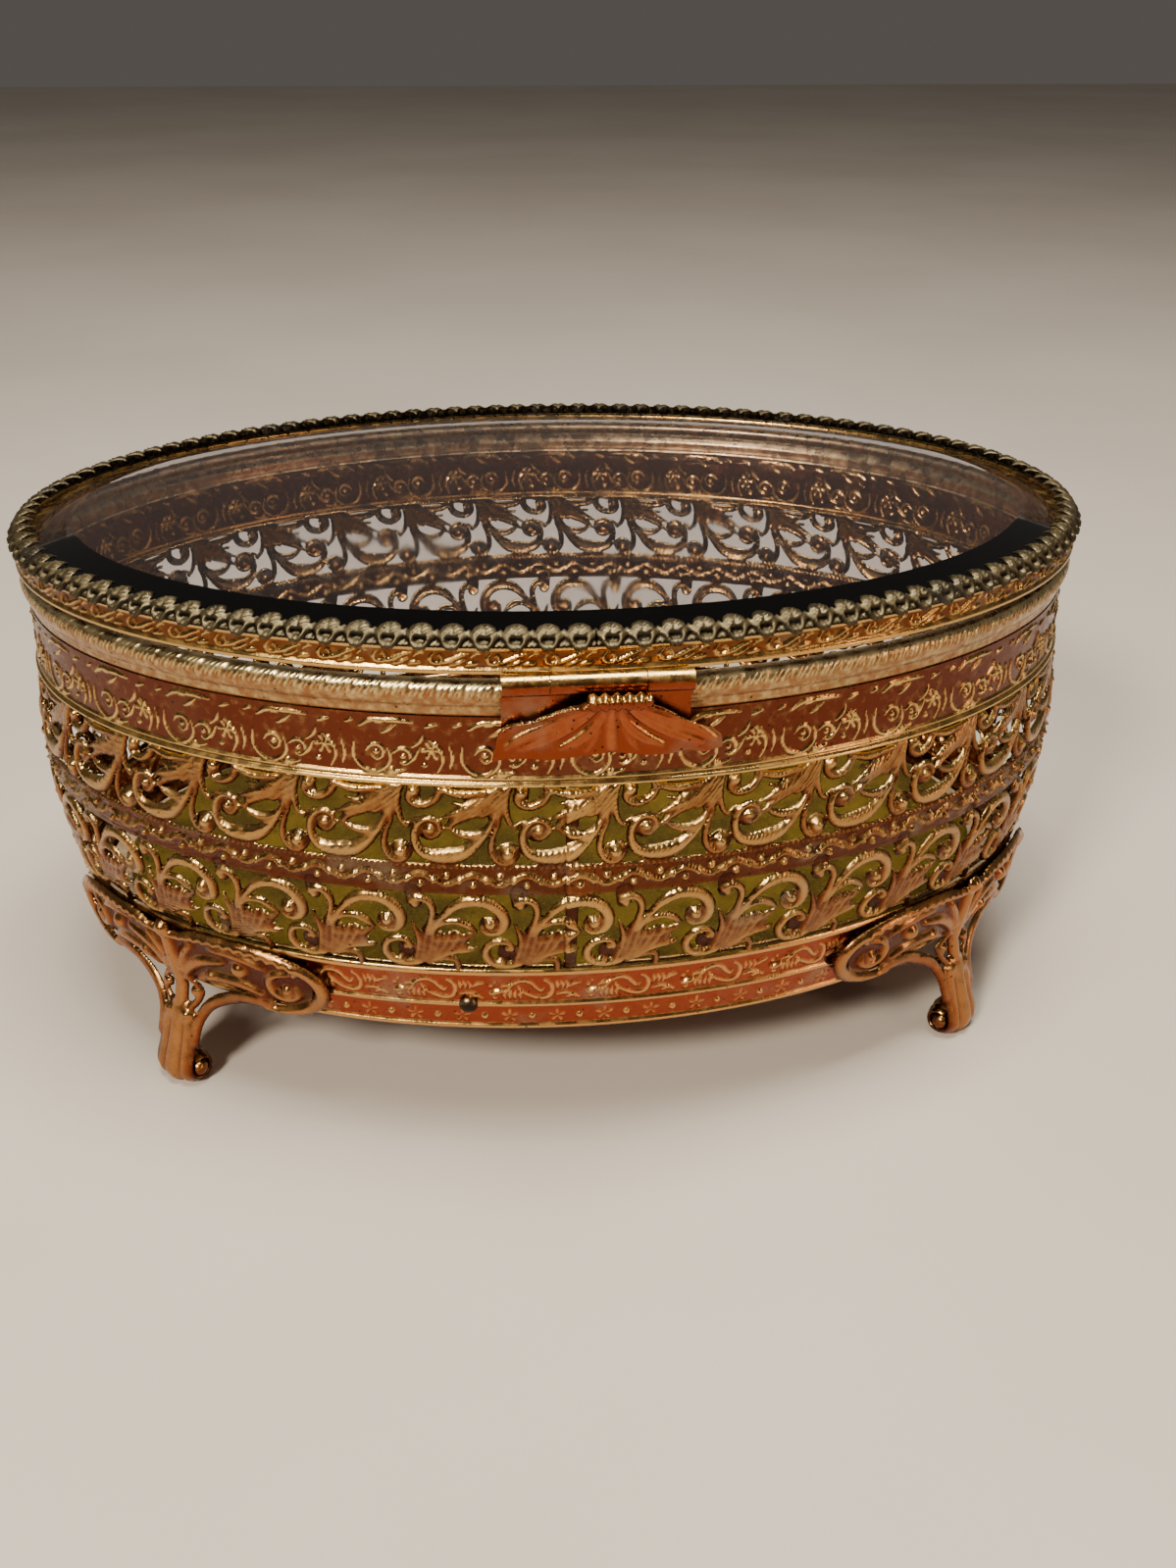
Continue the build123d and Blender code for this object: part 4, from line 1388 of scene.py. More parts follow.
# ---- Base band, collar and rim -------------------------------------------------------------------
@dataclass
class BaseBand(Maker):
    """The engraved band round the bottom: leafy S-scrolls over a row of balls and flowers."""

    cell: float = 0.245
    lip: float = 3.0
    lip_sheet: float = 0.8
    lip_tuck: float = 0.5
    top_tuck: tuple[float, float, float] = (-0.1, -0.5, 0.25)

    def draw(self) -> Drawing:
        """Draws one repeat.

        Returns:
            The drawing.
        """
        tile = Drawing(PITCH, FOOT_TOP, BASE_TOP + 0.2, self.cell)
        tile.plate(FOOT_TOP - 1, BASE_TOP + 1, 0.0)
        for centre, half, rise in ((18.85, 0.5, 0.5), (23.75, 0.55, 0.5), (30.65, 0.62, 0.6)):
            tile.line(centre, half, rise)
        rise = 0.42
        for item in (
            Stroke(
                [(2.4, 26.6), (3.2, 28.2), (4.8, 28.95), (6.2, 28.5), (7.0, 27.5), (7.8, 26.8), (8.3, 27.3)],
                [0.2, 0.3, 0.34, 0.32, 0.3, 0.26, 0.15],
                rise,
            ),
            Stroke(
                [
                    (4.1, 27.7), (4.7, 26.7), (6.0, 25.8), (7.6, 25.2), (9.1, 25.5), (9.7, 26.8), (9.4, 28.2),
                    (8.4, 29.0),
                ],
                [0.15, 0.25, 0.3, 0.34, 0.34, 0.3, 0.28, 0.2],
                rise,
            ),
            Stroke([(1.3, 27.6), (2.3, 28.0), (3.2, 28.2)], [0.15, 0.32, 0.15], rise),
            Stroke([(-0.4, 26.3), (0.5, 26.7), (1.5, 26.9)], [0.15, 0.36, 0.15], rise),
            Stroke([(10.4, 25.9), (11.8, 26.25), (13.4, 25.8)], [0.15, 0.36, 0.15], rise),
            Stroke([(12.0, 25.2), (13.2, 25.6), (14.2, 25.0)], [0.15, 0.3, 0.15], rise),
            Stroke([(15.3, 26.3), (16.6, 26.6), (18.0, 26.8)], [0.15, 0.36, 0.15], rise),
            Stroke([(12.6, 27.6), (13.4, 28.2), (14.4, 28.4)], [0.15, 0.3, 0.15], rise),
            *[
                Stroke(
                    [(s, 26.8), (s - 0.3, 25.9), (s - 0.15, 25.0)], [0.12, 0.26, 0.12], rise
                ) for s in (2.2, 3.0, 3.8, 4.7)
            ],
            *[
                Stroke(
                    [(s, 28.8), (s + 0.3, 28.0), (s + 0.2, 27.1)], [0.12, 0.26, 0.12], rise
                ) for s in (10.3, 11.1, 11.9)
            ],
        ):
            tile.engrave(Stroke(item.path, [1.25 * width for width in item.widths], item.rise, vein=0.1))
        for s, v, radius in ((15.5, 27.8, 0.42), (16.1, 25.3, 0.48), (0.3, 28.6, 0.3)):
            tile.dot(s, v, radius, 0.35)
        for k in range(2):
            shift = k * PITCH / 2
            tile.dot(6.3 + shift, 21.1, 0.62, 0.55)
            for turn in range(5):
                angle = turn * 2 * math.pi / 5 + 0.3
                c, s = math.cos(angle), math.sin(angle)
                petal = [(2.6 + shift + reach * c, 21.1 + reach * s) for reach in (0.35, 1.15)]
                tile.engrave(Stroke(petal, [0.2, 0.36], 0.26))
        return tile

    def build(self) -> None:
        """Makes the band in four pieces, with the lip that carries the floor."""
        rows = straight_rows(BASE_BOTTOM_HALF, BASE_TOP_HALF, FOOT_TOP, BASE_TOP)
        rows = np.vstack([rows, rows[-1] + self.top_tuck])
        profile = Profile(rows, start=FOOT_TOP)
        pieces = banded_object("base_band", self.draw(), REPEATS, 4, profile.place, None)
        self.add_strip(pieces, Body.CASKET, Finish.BASE, "base_band")
        top = FOOT_TOP + self.lip_sheet
        lip = [(-self.lip_tuck, FOOT_TOP), (-self.lip, FOOT_TOP), (-self.lip, top), (-self.lip_tuck, top)]
        self.add(swept_ring("base_lip", BASE_BOTTOM_HALF, lip), Body.CASKET, Finish.BAND)


@dataclass
class Collar(Maker):
    """The upright band above the filigree, engraved with fine scrolls, and its double line."""

    cell: float = 0.225
    low: float = 65.0

    def draw(self) -> Drawing:
        """Draws one repeat.

        Returns:
            The drawing.
        """
        tile = Drawing(PITCH, self.low, COLLAR_TOP, self.cell)
        tile.plate(self.low - 1, COLLAR_TOP + 1, 0.0)
        rise = 0.34
        for item in (
            Stroke(
                [
                    (12.7, 71.4), (12.5, 69.3), (13.6, 67.5), (15.5, 66.9), (17.2, 67.7), (18.0, 69.2),
                    (17.6, 70.8),
                ],
                [0.1, 0.16, 0.2, 0.2, 0.2, 0.16, 0.1],
                rise,
            ),
            Stroke(
                [
                    (14.5, 70.2), (15.1, 71.0), (16.1, 71.2), (16.9, 70.5), (16.8, 69.4), (15.9, 68.9),
                    (15.2, 69.4),
                ],
                [0.1, 0.2, 0.2, 0.18, 0.15, 0.12, 0.1],
                rise,
            ),
            Stroke(
                [(18.4, 70.0), (19.4, 70.7), (20.5, 70.5), (21.0, 69.4), (20.4, 68.5), (19.4, 68.5)],
                [0.1, 0.2, 0.2, 0.18, 0.15, 0.1],
                rise,
            ),
            Stroke([(13.6, 73.9), (15.2, 74.9), (17.6, 75.2)], [0.1, 0.24, 0.1], rise),
            Stroke([(16.8, 73.0), (17.8, 73.6), (18.9, 74.4)], [0.1, 0.24, 0.1], rise),
            Stroke([(4.0, 68.2), (5.4, 69.0), (6.5, 70.9)], [0.1, 0.2, 0.1], rise),
            Stroke([(1.2, 66.9), (2.6, 67.0), (4.2, 67.4)], [0.1, 0.22, 0.1], rise),
            Stroke([(0.2, 74.6), (2.6, 75.1), (5.6, 74.9)], [0.1, 0.22, 0.1], rise),
            Stroke([(7.4, 74.2), (8.2, 74.5), (9.0, 74.7)], [0.1, 0.2, 0.1], rise),
            Stroke([(11.6, 74.4), (12.4, 74.8)], [0.1, 0.2], rise),
            Stroke([(21.2, 71.0), (22.4, 72.0), (22.8, 73.0)], [0.1, 0.22, 0.1], rise),
            Stroke([(9.0, 67.2), (9.8, 69.0), (9.4, 70.8), (8.0, 72.2)], [0.1, 0.16, 0.16, 0.1], rise),
            Stroke([(10.8, 68.0), (11.2, 69.6), (10.8, 71.4)], [0.1, 0.16, 0.1], rise),
        ):
            tile.engrave(Stroke(item.path, [1.5 * width for width in item.widths], item.rise, vein=0.08))
        for s, v in ((15.9, 70.0), (19.8, 69.5), (18.0, 67.4), (8.2, 70.6), (22.9, 68.2)):
            tile.dot(s, v, 0.42, 0.36)
        for k in range(6):
            c, s = math.cos(k * math.pi / 3), math.sin(k * math.pi / 3)
            petal = [(8.2 + reach * c, 70.6 + reach * s) for reach in (0.5, 1.3)]
            tile.engrave(Stroke(petal, [0.2, 0.34], 0.26))
        tile.line(65.55, 0.5, 0.75)
        tile.line(66.45, 0.3, 0.4)
        return tile

    def build(self) -> None:
        """Makes the collar in three pieces."""
        profile = Profile(straight_rows(BODY_HALF, BODY_HALF, self.low, COLLAR_TOP), start=self.low)
        pieces = banded_object("collar", self.draw(), REPEATS, 3, profile.place, None)
        self.add_strip(pieces, Body.CASKET, Finish.BAND, "collar_band")


def rolled_rows(half: tuple[float, float], section: Sequence[tuple[float, float]]) -> np.ndarray:
    """Profile rows along a smooth curve.

    Args:
        half: half sizes that the curve is measured from.
        section: (outward, height) points that it passes through.

    Returns:
        Rows of half length, half width and height.
    """
    line = smooth_line(np.array([(z, o) for o, z in section], float), 0.12)
    z, o = line[:, 0], line[:, 1]
    return np.stack([half[0] + o, half[1] + o, z], axis=1)


@dataclass
class Rim(Maker):
    """The rim: a plain strip under a rolled edge that is cut with slanting leaves."""

    leaf_pitch: float = PITCH / 4
    leaves: int = 5

    def build(self) -> None:
        """Makes the rim in two pieces."""
        section = [
            (-0.4, 75.5), (-0.06, 75.95), (0.02, 76.9), (0.15, 77.5), (0.6, 78.2), (0.95, 79.1), (1.0, 80.0),
            (0.75, 80.8), (0.2, 81.35), (-0.7, 81.5), (-1.5, 81.3), (-1.9, 80.6), (-1.6, 79.6),
        ]
        profile = Profile(rolled_rows(BODY_HALF, section), start=0.0)
        length = float(profile.lengths()[-1])
        tile = Drawing(self.leaf_pitch, 0.0, length, self.leaf_pitch / 14)
        tile.plate(-1, length + 1, 0.0)
        random = np.random.default_rng(SEED)
        for k in range(self.leaves):
            s = (k + random.uniform(-0.2, 0.2)) * self.leaf_pitch / self.leaves
            low, lean = random.uniform(3.8, 4.4), random.uniform(0.7, 1.5)
            path = [
                (s, low), (s + 0.3 * lean, low + 0.8), (s + 0.9 * lean, low + 1.7),
                (s + 1.8 * lean, low + 2.7),
            ]
            tile.engrave(Stroke(path, [0.1, 0.3, 0.26, 0.12], random.uniform(0.05, 0.13)))
            cut = [(s + 0.5, low + 0.1), (s + 0.8, low + 1.1)]
            tile.engrave(Stroke(cut, [0.12, 0.16], -0.09))
        tile.height -= 0.2 * np.exp(-(((tile.grid_v - 0.7) / 0.2) ** 2))
        pieces = banded_object("rim", tile, REPEATS * 4, 2, profile.place, None)
        self.add_strip(pieces, Body.CASKET, Finish.RIM, "rim_bead")


# ---- Lid -----------------------------------------------------------------------------------------
@dataclass
class Lid(Maker):
    """The lid: engraved band, gallery of leaves, bevelled glass and the ring it rests on."""

    leaves: int = 112
    band_inset: float = 0.4
    gallery_sheet: float = 0.3
    glass_half: tuple[float, float] = (88.5, 64.0)

    def band(self) -> None:
        """Makes the band with its running scroll between two raised lines."""
        pitch = PITCH / 2
        tile = Drawing(pitch, LID_BOTTOM, LID_BAND_TOP, pitch / 32)
        tile.plate(80, 90, 0.0)
        tile.line(83.45, 0.5, 0.4)
        tile.line(86.75, 0.4, 0.3)
        rise = 0.3
        for item in (
            Stroke(
                [(1.4, 85.9), (0.9, 85.3), (1.2, 84.6), (2.0, 84.5), (2.6, 85.0), (2.4, 85.6), (1.9, 85.6)],
                [0.1, 0.16, 0.18, 0.18, 0.16, 0.12, 0.1],
                rise,
            ),
            Stroke([(2.2, 84.5), (3.6, 84.9), (5.0, 85.6), (6.2, 86.0)], [0.14, 0.22, 0.18, 0.08], rise),
            Stroke([(3.6, 84.3), (4.6, 84.5), (5.6, 85.0)], [0.08, 0.18, 0.08], rise),
            Stroke([(5.8, 84.3), (6.6, 84.5), (7.4, 84.4)], [0.1, 0.22, 0.1], rise),
            Stroke([(6.6, 85.4), (7.2, 86.0), (8.0, 86.1)], [0.08, 0.18, 0.08], rise),
        ):
            tile.engrave(Stroke(item.path, [1.4 * width for width in item.widths], item.rise))
        half = tuple(size - self.band_inset for size in LID_HALF)
        profile = SettledProfile(straight_rows(half, half, LID_BOTTOM, LID_BAND_TOP), start=LID_BOTTOM)
        pieces = banded_object("lid_band", tile, REPEATS * 2, 2, profile.place, None)
        self.add_strip(pieces, Body.LID, Finish.LID_BAND, "lid_band")

    def gallery(self) -> None:
        """Makes the gallery: a grainy foot, a row of pits, and pointed leaves that lean in over the glass."""
        section = [
            (-0.4, 86.85), (-0.05, 86.95), (0.0, 87.3), (-0.25, 87.75), (-0.8, 88.3), (-1.5, 88.7),
            (-2.3, 88.85), (-3.0, 88.75), (-3.7, 88.5),
        ]
        profile = SettledProfile(rolled_rows(LID_HALF, section))
        length = float(profile.lengths()[-1])
        pitch = ROUND / self.leaves
        tile = Drawing(pitch, 0.0, length, pitch / 19)
        middle = 0.5 * pitch
        tip = length - 0.15
        tile.plate(-1.0, 1.75, 0.0)
        # a low domed leaf with a blunt point, a grey curl each side of it, and a collar of grains at its foot
        tile.stroke(
            Stroke(
                [(middle, 1.7), (middle, 2.4), (middle, 3.1), (middle, tip)],
                [1.5, 1.75, 1.05, 0.1],
                0.24,
                vein=0.26,
                lift=0.42,
            )
        )
        for side in (-1, 1):
            curl = [(middle + side * 1.35, 1.5), (middle + side * 1.95, 2.2), (middle + side * 2.15, 2.9)]
            tile.stroke(Stroke(curl, [0.42, 0.4, 0.22], 0.4))
            for k in range(3):
                start = (middle + side * 0.2, 1.9 + 0.62 * k)
                tile.engrave(
                    Stroke([start, (middle + side * (1.15 - 0.25 * k), 2.35 + 0.6 * k)], [0.1, 0.2], 0.2)
                )
        for k in range(7):
            at = (k + 0.5) * pitch / 7
            tile.dot(at, 0.5, 0.3, 0.24)
        tile.engrave(Stroke([(middle - 0.4, 1.3), (middle + 0.4, 1.3)], [0.55], -0.9))
        tile.dot(0.0, 1.35, 0.3, -0.3)
        pieces = banded_object("gallery", tile, self.leaves, 3, profile.place, self.gallery_sheet)
        self.add_strip(pieces, Body.LID, Finish.AGED, "lid_bezel")

    def glass(self) -> None:
        """Makes the glass: a flat plate whose upper edge is ground to a wide bevel."""
        section = [
            (-8.0, 85.3), (-0.2, 85.3), (0.0, 85.5), (0.0, 86.55), (-0.18, 86.73), (-7.8, 88.64), (-8.1, 88.7)
        ]
        points = settle(oval_sweep(self.glass_half, section))
        rows = len(section)
        around = len(points) // rows
        faces = grid_faces(around, rows, True, False)
        plate = make_object("lid_glass_plate", points, faces, *cap_faces(around, rows))
        plate.data.set_sharp_from_angle(angle=math.radians(8))
        self.add(plate, Body.LID, Finish.GLASS, "lid_glass")

    def build(self) -> None:
        """Makes every piece of the lid."""
        self.band()
        self.gallery()
        self.glass()
        self.keep("glass_seat_ring", Finish.BAND)


# ---- Legs ----------------------------------------------------------------------------------------
@dataclass
class Legs(Maker):
    """Four legs of pressed brass: winged brackets with scrolled ends, a ribbed ankle and a rolled toe."""

    half_span: float = 32.0
    wing_from: float = 6.0
    wing_stretch: float = 1.3
    cell: float = 0.3
    angle: float = 49.5
    proud: float = 1.15
    sheet: float = 0.6
    toe_out: float = 3.55
    toe_up: float = 3.1
    core_radius: float = 1.5
    core_half: float = 4.1

    def profile(self) -> Profile:
        """The path up a leg: round under the toe, up the flaring ankle and up the band.

        Returns:
            The profile, whose v equals the height at the foot of the base band.
        """
        turn = np.radians(np.linspace(-300, -8, 30))
        radius = np.interp(turn, turn[[0, 10, 29]], (0.9, 1.5, 1.55))
        curl = np.column_stack([self.toe_out + radius * np.cos(turn), self.toe_up + radius * np.sin(turn)])
        ankle = smooth_line(
            np.array([(5.1, 3.5), (4.75, 5.0), (4.1, 7.0), (3.3, 10.0), (2.1, 14.0), (self.proud, 18.5)]), 0.5
        )
        path = np.vstack([curl, ankle])
        half = np.array(BASE_BOTTOM_HALF)
        rows = np.column_stack([half[0] + path[:, 0], half[1] + path[:, 0], path[:, 1]])
        rise = (np.array(BASE_TOP_HALF) - half) / (BASE_TOP - FOOT_TOP)
        high = np.linspace(19.0, 34.0, 12)
        upper = np.column_stack(
            [
                half[0] + self.proud + (high - FOOT_TOP) * rise[0],
                half[1] + self.proud + (high - FOOT_TOP) * rise[1],
                high,
            ]
        )
        profile = Profile(np.vstack([rows, upper]))
        at_band = np.interp(FOOT_TOP, profile.rows[len(curl) :, 2], profile.lengths()[len(curl) :])
        return Profile(profile.rows, start=FOOT_TOP - at_band)

    def spread(self, x: float) -> float:
        """Distance from the leg's middle, stretched along the wing."""
        return x if x < self.wing_from else self.wing_from + (x - self.wing_from) * self.wing_stretch

    def draw(self) -> Drawing:
        """Draws a leg from straight ahead, both halves alike.

        Returns:
            The drawing.
        """
        profile = self.profile()
        tile = Drawing(
            2 * self.half_span, profile.start + 0.05, 33.4, self.cell, wraps=False, left=-self.half_span
        )
        low = profile.start + 0.1
        web = 0.2
        for item in (
            Stroke(
                [(0, 25.2), (5, 25.6), (10, 26.0), (15, 25.4), (19, 24.6)], [4.9, 4.9, 4.9, 4.9, 4.6], web
            ),
            # outer rail of the arch, from the ankle out to the wing's tip
            Stroke(
                [(3.9, 8.0), (3.9, 10.6), (4.6, 13.2), (6.4, 16.0), (9.2, 18.2), (12.4, 19.4), (15.8, 19.4)],
                [1.0, 1.15, 1.15, 1.15, 1.25, 1.35, 1.2],
                0.95,
                vein=0.2,
            ),
            Stroke(
                [
                    (0, 29.7), (3.5, 30.0), (7, 30.9), (13, 31.1), (18.6, 30.1), (22.6, 27.6), (23.9, 24.2),
                    (22.4, 21.0), (19.0, 19.2), (15.2, 18.6),
                ],
                [0.8, 0.9, 1.0, 0.95, 1.0, 1.2, 1.35, 1.2, 1.0, 0.5],
                1.5,
                hatch=0.3,
            ),
            Stroke(
                [
                    (20.2, 27.2), (17.8, 26.6), (16.6, 24.8), (17.0, 22.8), (18.8, 21.8), (20.5, 22.8),
                    (20.2, 24.2),
                ],
                [0.3, 0.6, 0.8, 0.85, 0.8, 0.6, 0.3],
                1.3,
                vein=0.2,
            ),
            Stroke(
                [(1.6, 20.2), (3.4, 23.2), (6.4, 25.4), (10.0, 26.6)],
                [0.5, 1.05, 1.1, 0.5],
                1.3,
                vein=0.25,
                hatch=0.2,
            ),
            Stroke([(1.3, 22.2), (2.6, 25.4), (4.8, 28.2)], [0.4, 0.95, 0.7], 1.25, vein=0.25),
            Stroke(
                [(4.4, 21.0), (8.0, 22.6), (12.4, 22.6), (15.2, 21.4)],
                [0.4, 1.05, 1.0, 0.5],
                1.25,
                vein=0.25,
                hatch=0.2,
            ),
            Stroke(
                [(8.2, 28.6), (11.0, 28.9), (14.2, 28.2), (16.4, 27.0)], [0.3, 0.9, 0.9, 0.3], 1.1, hatch=0.2
            ),
            # small S-curl between the ankle and the band, which carries a ball
            Stroke(
                [(1.0, 12.6), (2.2, 14.2), (3.6, 15.8), (4.3, 17.6), (3.6, 19.2), (2.0, 20.2)],
                [0.8, 0.75, 0.7, 0.7, 0.65, 0.6],
                1.0,
            ),
        ):
            for side in (-1, 1):
                path = [(side * self.spread(x), z) for x, z in item.path]
                tile.stroke(Stroke(path, item.widths, item.rise, item.vein, item.hatch, item.lift))
        tile.stroke(Stroke([(0, 29.0), (0, 24.0), (0, 19.0), (0, 13.0)], [1.1, 1.5, 1.5, 1.7], 1.4, vein=0.2))
        tile.stroke(
            Stroke(
                [(0, 12.6), (0, 10.0), (0, 6.0), (0, 2.0), (0, -2.0), (0, low)],
                [3.3, 3.9, 4.1, 4.3, 4.3, 4.0],
                1.5,
            )
        )
        tile.ball(0.0, 30.7, 1.6, 1.5, 0.4)
        for side in (-1, 1):
            for x, z, radius, rise in (
                (12.4, 25.9, 1.6, 1.4), (1.9, 22.6, 1.0, 1.3), (7.4, 22.7, 1.0, 1.3), (3.2, 17.6, 1.1, 1.2),
                (2.1, 12.9, 1.0, 1.7), (19.0, 23.6, 1.0, 1.2), (20.6, 27.6, 0.8, 1.2),
            ):
                tile.ball(side * self.spread(x), z, radius, rise, 0.2)
            for k in range(12):
                x, z = side * self.spread(4.0 + 1.5 * k), 30.3 + 0.7 * math.sin(
                    0.25 * k + 0.2
                ) - 0.012 * k * k
                tile.ball(x, z, 0.55, 0.9, 1.0)
            groove = [(side * 1.35, 11.0), (side * 1.5, 6.0), (side * 1.6, 0.0), (side * 1.5, low)]
            tile.engrave(Stroke(groove, [0.35, 0.45, 0.5, 0.5], -0.75))
            outer = [(side * 2.9, 9.0), (side * 3.1, 4.0), (side * 3.2, 0.0), (side * 3.0, low)]
            tile.engrave(Stroke(outer, [0.2, 0.3, 0.3, 0.3], -0.4))
        tile.soften(2)
        return tile

    def build(self) -> None:
        """Makes the four legs."""
        profile, tile = self.profile(), self.draw()
        for end, turned in (("back", self.angle), ("front", 180 - self.angle)):
            for side, sign in (("right", -1), ("left", 1)):
                self.one(f"leg_{end}_{side}", math.radians(sign * turned), profile, tile)

    def one(self, name: str, angle: float, profile: Profile, tile: Drawing) -> None:
        """Bends one leg into place.

        Args:
            name: the CAD node it stands for.
            angle: where it stands on the oval.
            profile: the path up the leg.
            tile: the drawing.
        """
        middle = float(np.interp(angle, ANGLE, ARC))

        def place(s: np.ndarray, v: np.ndarray, h: np.ndarray) -> np.ndarray:
            """Bends the drawing to the oval with a slight keel down its middle, and flattens it on the ground.

            The keel adds half a millimetre, falling off by e every 9 mm to each side.

            Args:
                s: distance from the leg's middle.
                v: distance up the leg.
                h: height above the leg's path.

            Returns:
                Positions in mm.
            """
            points = profile.place(middle + s, v, h + 0.5 * np.exp(-np.abs(s) / 9.0))
            points[:, 2] = np.maximum(points[:, 2], 0.0)
            return points

        obj = relief_object(
            f"{name}_bracket", tile.s, tile.v, tile.distance, tile.height, place, False, self.sheet
        )
        self.add(obj, Body.CASKET, Finish.LEG, name)
        self.add(self.toe_core(f"{name}_toe", angle), Body.CASKET, Finish.LEG)

    def toe_core(self, name: str, angle: float) -> bpy.types.Object:
        """The solid heart of a rolled toe: a short bar with domed ends, lying across the leg.

        Its radius at a distance x along it is r times the square root of 1 - (x / half) to the eighth.

        Args:
            name: the object's name.
            angle: where the leg stands on the oval.

        Returns:
            The object.
        """
        along = np.sin(np.linspace(-0.5 * np.pi, 0.5 * np.pi, 17))
        radius = self.core_radius * np.sqrt(1.0 - along**8)
        turn = np.linspace(0.0, 2 * np.pi, 25)[:-1]
        x = np.repeat(along * self.core_half, len(turn))
        out = self.toe_out + np.outer(radius, np.cos(turn)).ravel()
        up = self.toe_up + np.outer(radius, np.sin(turn)).ravel()
        t = np.interp(float(np.interp(angle, ANGLE, ARC)), ARC, ANGLE)
        a, b = BASE_BOTTOM_HALF
        foot = np.array([-a * math.sin(t), b * math.cos(t), 0.0])
        normal = np.array([foot[0] / a**2, foot[1] / b**2, 0.0])
        normal /= np.linalg.norm(normal)
        side = np.array([-normal[1], normal[0], 0.0])
        points = foot + out[:, None] * normal + x[:, None] * side + up[:, None] * np.array([0.0, 0.0, 1.0])
        obj = make_object(name, points, grid_faces(len(along), len(turn), False, True, flip=True))
        set_attribute(obj, "relief", np.full(len(points), 0.6))
        return obj


# ---- Hinge and lid rest --------------------------------------------------------------------------
@dataclass
class Hinge(Maker):
    """The hinge, and the acanthus leaf with a ribbed roll that the open lid comes down on."""

    cell: float = 0.19
    roll_end: float = 4.6
    foot: float = 14.6

    def path(self) -> np.ndarray:
        """The leaf's section: over the roll, in under it and down against the collar.

        Returns:
            Rows of (depth, height).
        """
        points = [
            (69.75, 80.9), (69.75, 81.7), (70.2, 82.2), (70.95, 82.4), (71.7, 82.15), (72.2, 81.6),
            (72.3, 80.9), (72.0, 80.2), (71.2, 79.7), (70.0, 79.6), (68.6, 79.3), (67.6, 78.3), (67.0, 76.4),
            (66.85, 74.0), (66.75, 70.3),
        ]
        return smooth_line(np.array(points), 0.15)

    def draw(self, length: float) -> Drawing:
        """Draws the leaf, as seen from behind the casket.

        Args:
            length: how long the section's path is.

        Returns:
            The drawing.
        """
        tile = Drawing(34.0, self.foot - length, self.foot, self.cell, wraps=False, left=-15.4)
        left = np.interp(
            tile.v,
            [0, 3, 5.2, 6.0, 7.0, 8.2, 8.5, 9.3, 10.6, 14.6],
            [-1.5, -2.2, -2.8, -4.6, -6.6, -9.3, -12.2, -13.5, -13.9, -14.8],
        )
        right = np.interp(
            tile.v,
            [0, 3, 5.2, 6.2, 7.2, 8.5, 9.6, 10.6, 11.5, 14.6],
            [6.5, 6.8, 7.1, 8.2, 9.8, 12.2, 14.6, 16.6, 17.6, 17.9],
        )
        low = np.interp(
            tile.s,
            [-15, -12.5, -9.5, -7, -3, 0, 2, 4.5, 7, 10, 13, 15.2, 18],
            [14.2, 13.7, 13.9, 14.3, 13.9, 13.6, 13.4, 13.7, 14.1, 14.1, 13.5, 14.0, 13.2],
        )
        tile.distance = np.maximum(
            np.maximum(left[None, :] - tile.grid_s, tile.grid_s - right[None, :]), tile.grid_v - low[:, None]
        )
        on_roll = np.clip((self.roll_end - tile.grid_v) / 0.8, 0, 1)
        tile.height += on_roll * 0.28 * (np.cos(2 * np.pi * (tile.grid_s - 2.2) / 1.62) - 1.0)
        edge = np.clip(-tile.distance / 0.9, 0, 1)
        tile.height += (1 - on_roll) * 0.5 * (1 - edge) * (tile.grid_v < 9.5)
        middle = 2.0
        tile.engrave(Stroke([(middle, 6.2), (middle - 0.1, 9.0), (middle, 12.4)], [0.35, 0.85, 0.9], 0.45))
        for side in (-1, 1):
            for path, widths in (
                ([(0.9, 6.0), (1.9, 8.6), (4.2, 11.0), (7.0, 12.4)], [0.35, 0.8, 0.95, 0.5]),
                (
                    [(1.9, 5.8), (4.2, 8.0), (7.2, 9.9), (10.4, 11.4), (12.8, 12.2)],
                    [0.35, 0.85, 1.0, 0.9, 0.5],
                ),
                ([(3.0, 5.8), (6.0, 7.6), (9.4, 9.2), (12.6, 10.6), (14.6, 12.0)], [0.3, 0.6, 0.8, 0.8, 0.5]),
                ([(1.5, 9.8), (2.8, 11.8), (3.6, 12.9)], [0.2, 0.45, 0.3]),
            ):
                tile.engrave(Stroke([(middle + side * x, v) for x, v in path], widths, 0.42, vein=0.16))
        tile.soften()
        return tile

    def build(self) -> None:
        """Makes the leaf; the knuckles and the pin keep their CAD shapes."""
        path = self.path()
        steps = np.concatenate([[0.0], np.cumsum(np.hypot(*np.diff(path, axis=0).T))])
        slope_y, slope_z = np.gradient(path[:, 0], steps), np.gradient(path[:, 1], steps)

        def place(s: np.ndarray, v: np.ndarray, h: np.ndarray) -> np.ndarray:
            """Lays the drawing along the section's path, h out along its normal.

            Args:
                s: distance to the left of the hinge's middle.
                v: distance down the leaf, whose foot lies at the end of the path.
                h: height above the path.

            Returns:
                Positions in mm.
            """
            along = v + steps[-1] - self.foot
            y, z = np.interp(along, steps, path[:, 0]), np.interp(along, steps, path[:, 1])
            ny, nz = -np.interp(along, steps, slope_z), np.interp(along, steps, slope_y)
            return np.stack([-s, y + h * ny, z + h * nz], axis=-1)

        tile = self.draw(float(steps[-1]))
        obj = relief_object("lid_rest_acanthus", tile.s, tile.v, tile.distance, tile.height, place, True, 0.6)
        self.add(obj, Body.CASKET, Finish.HINGE, "lid_rest_leaf")
        for node in ("hinge_body_leaf", "hinge_lid_leaf"):
            self.keep(node, Finish.HINGE)
            smooth_edges(frame["nodes"][node], 0.1)
        self.keep("hinge_pin", Finish.PIN)


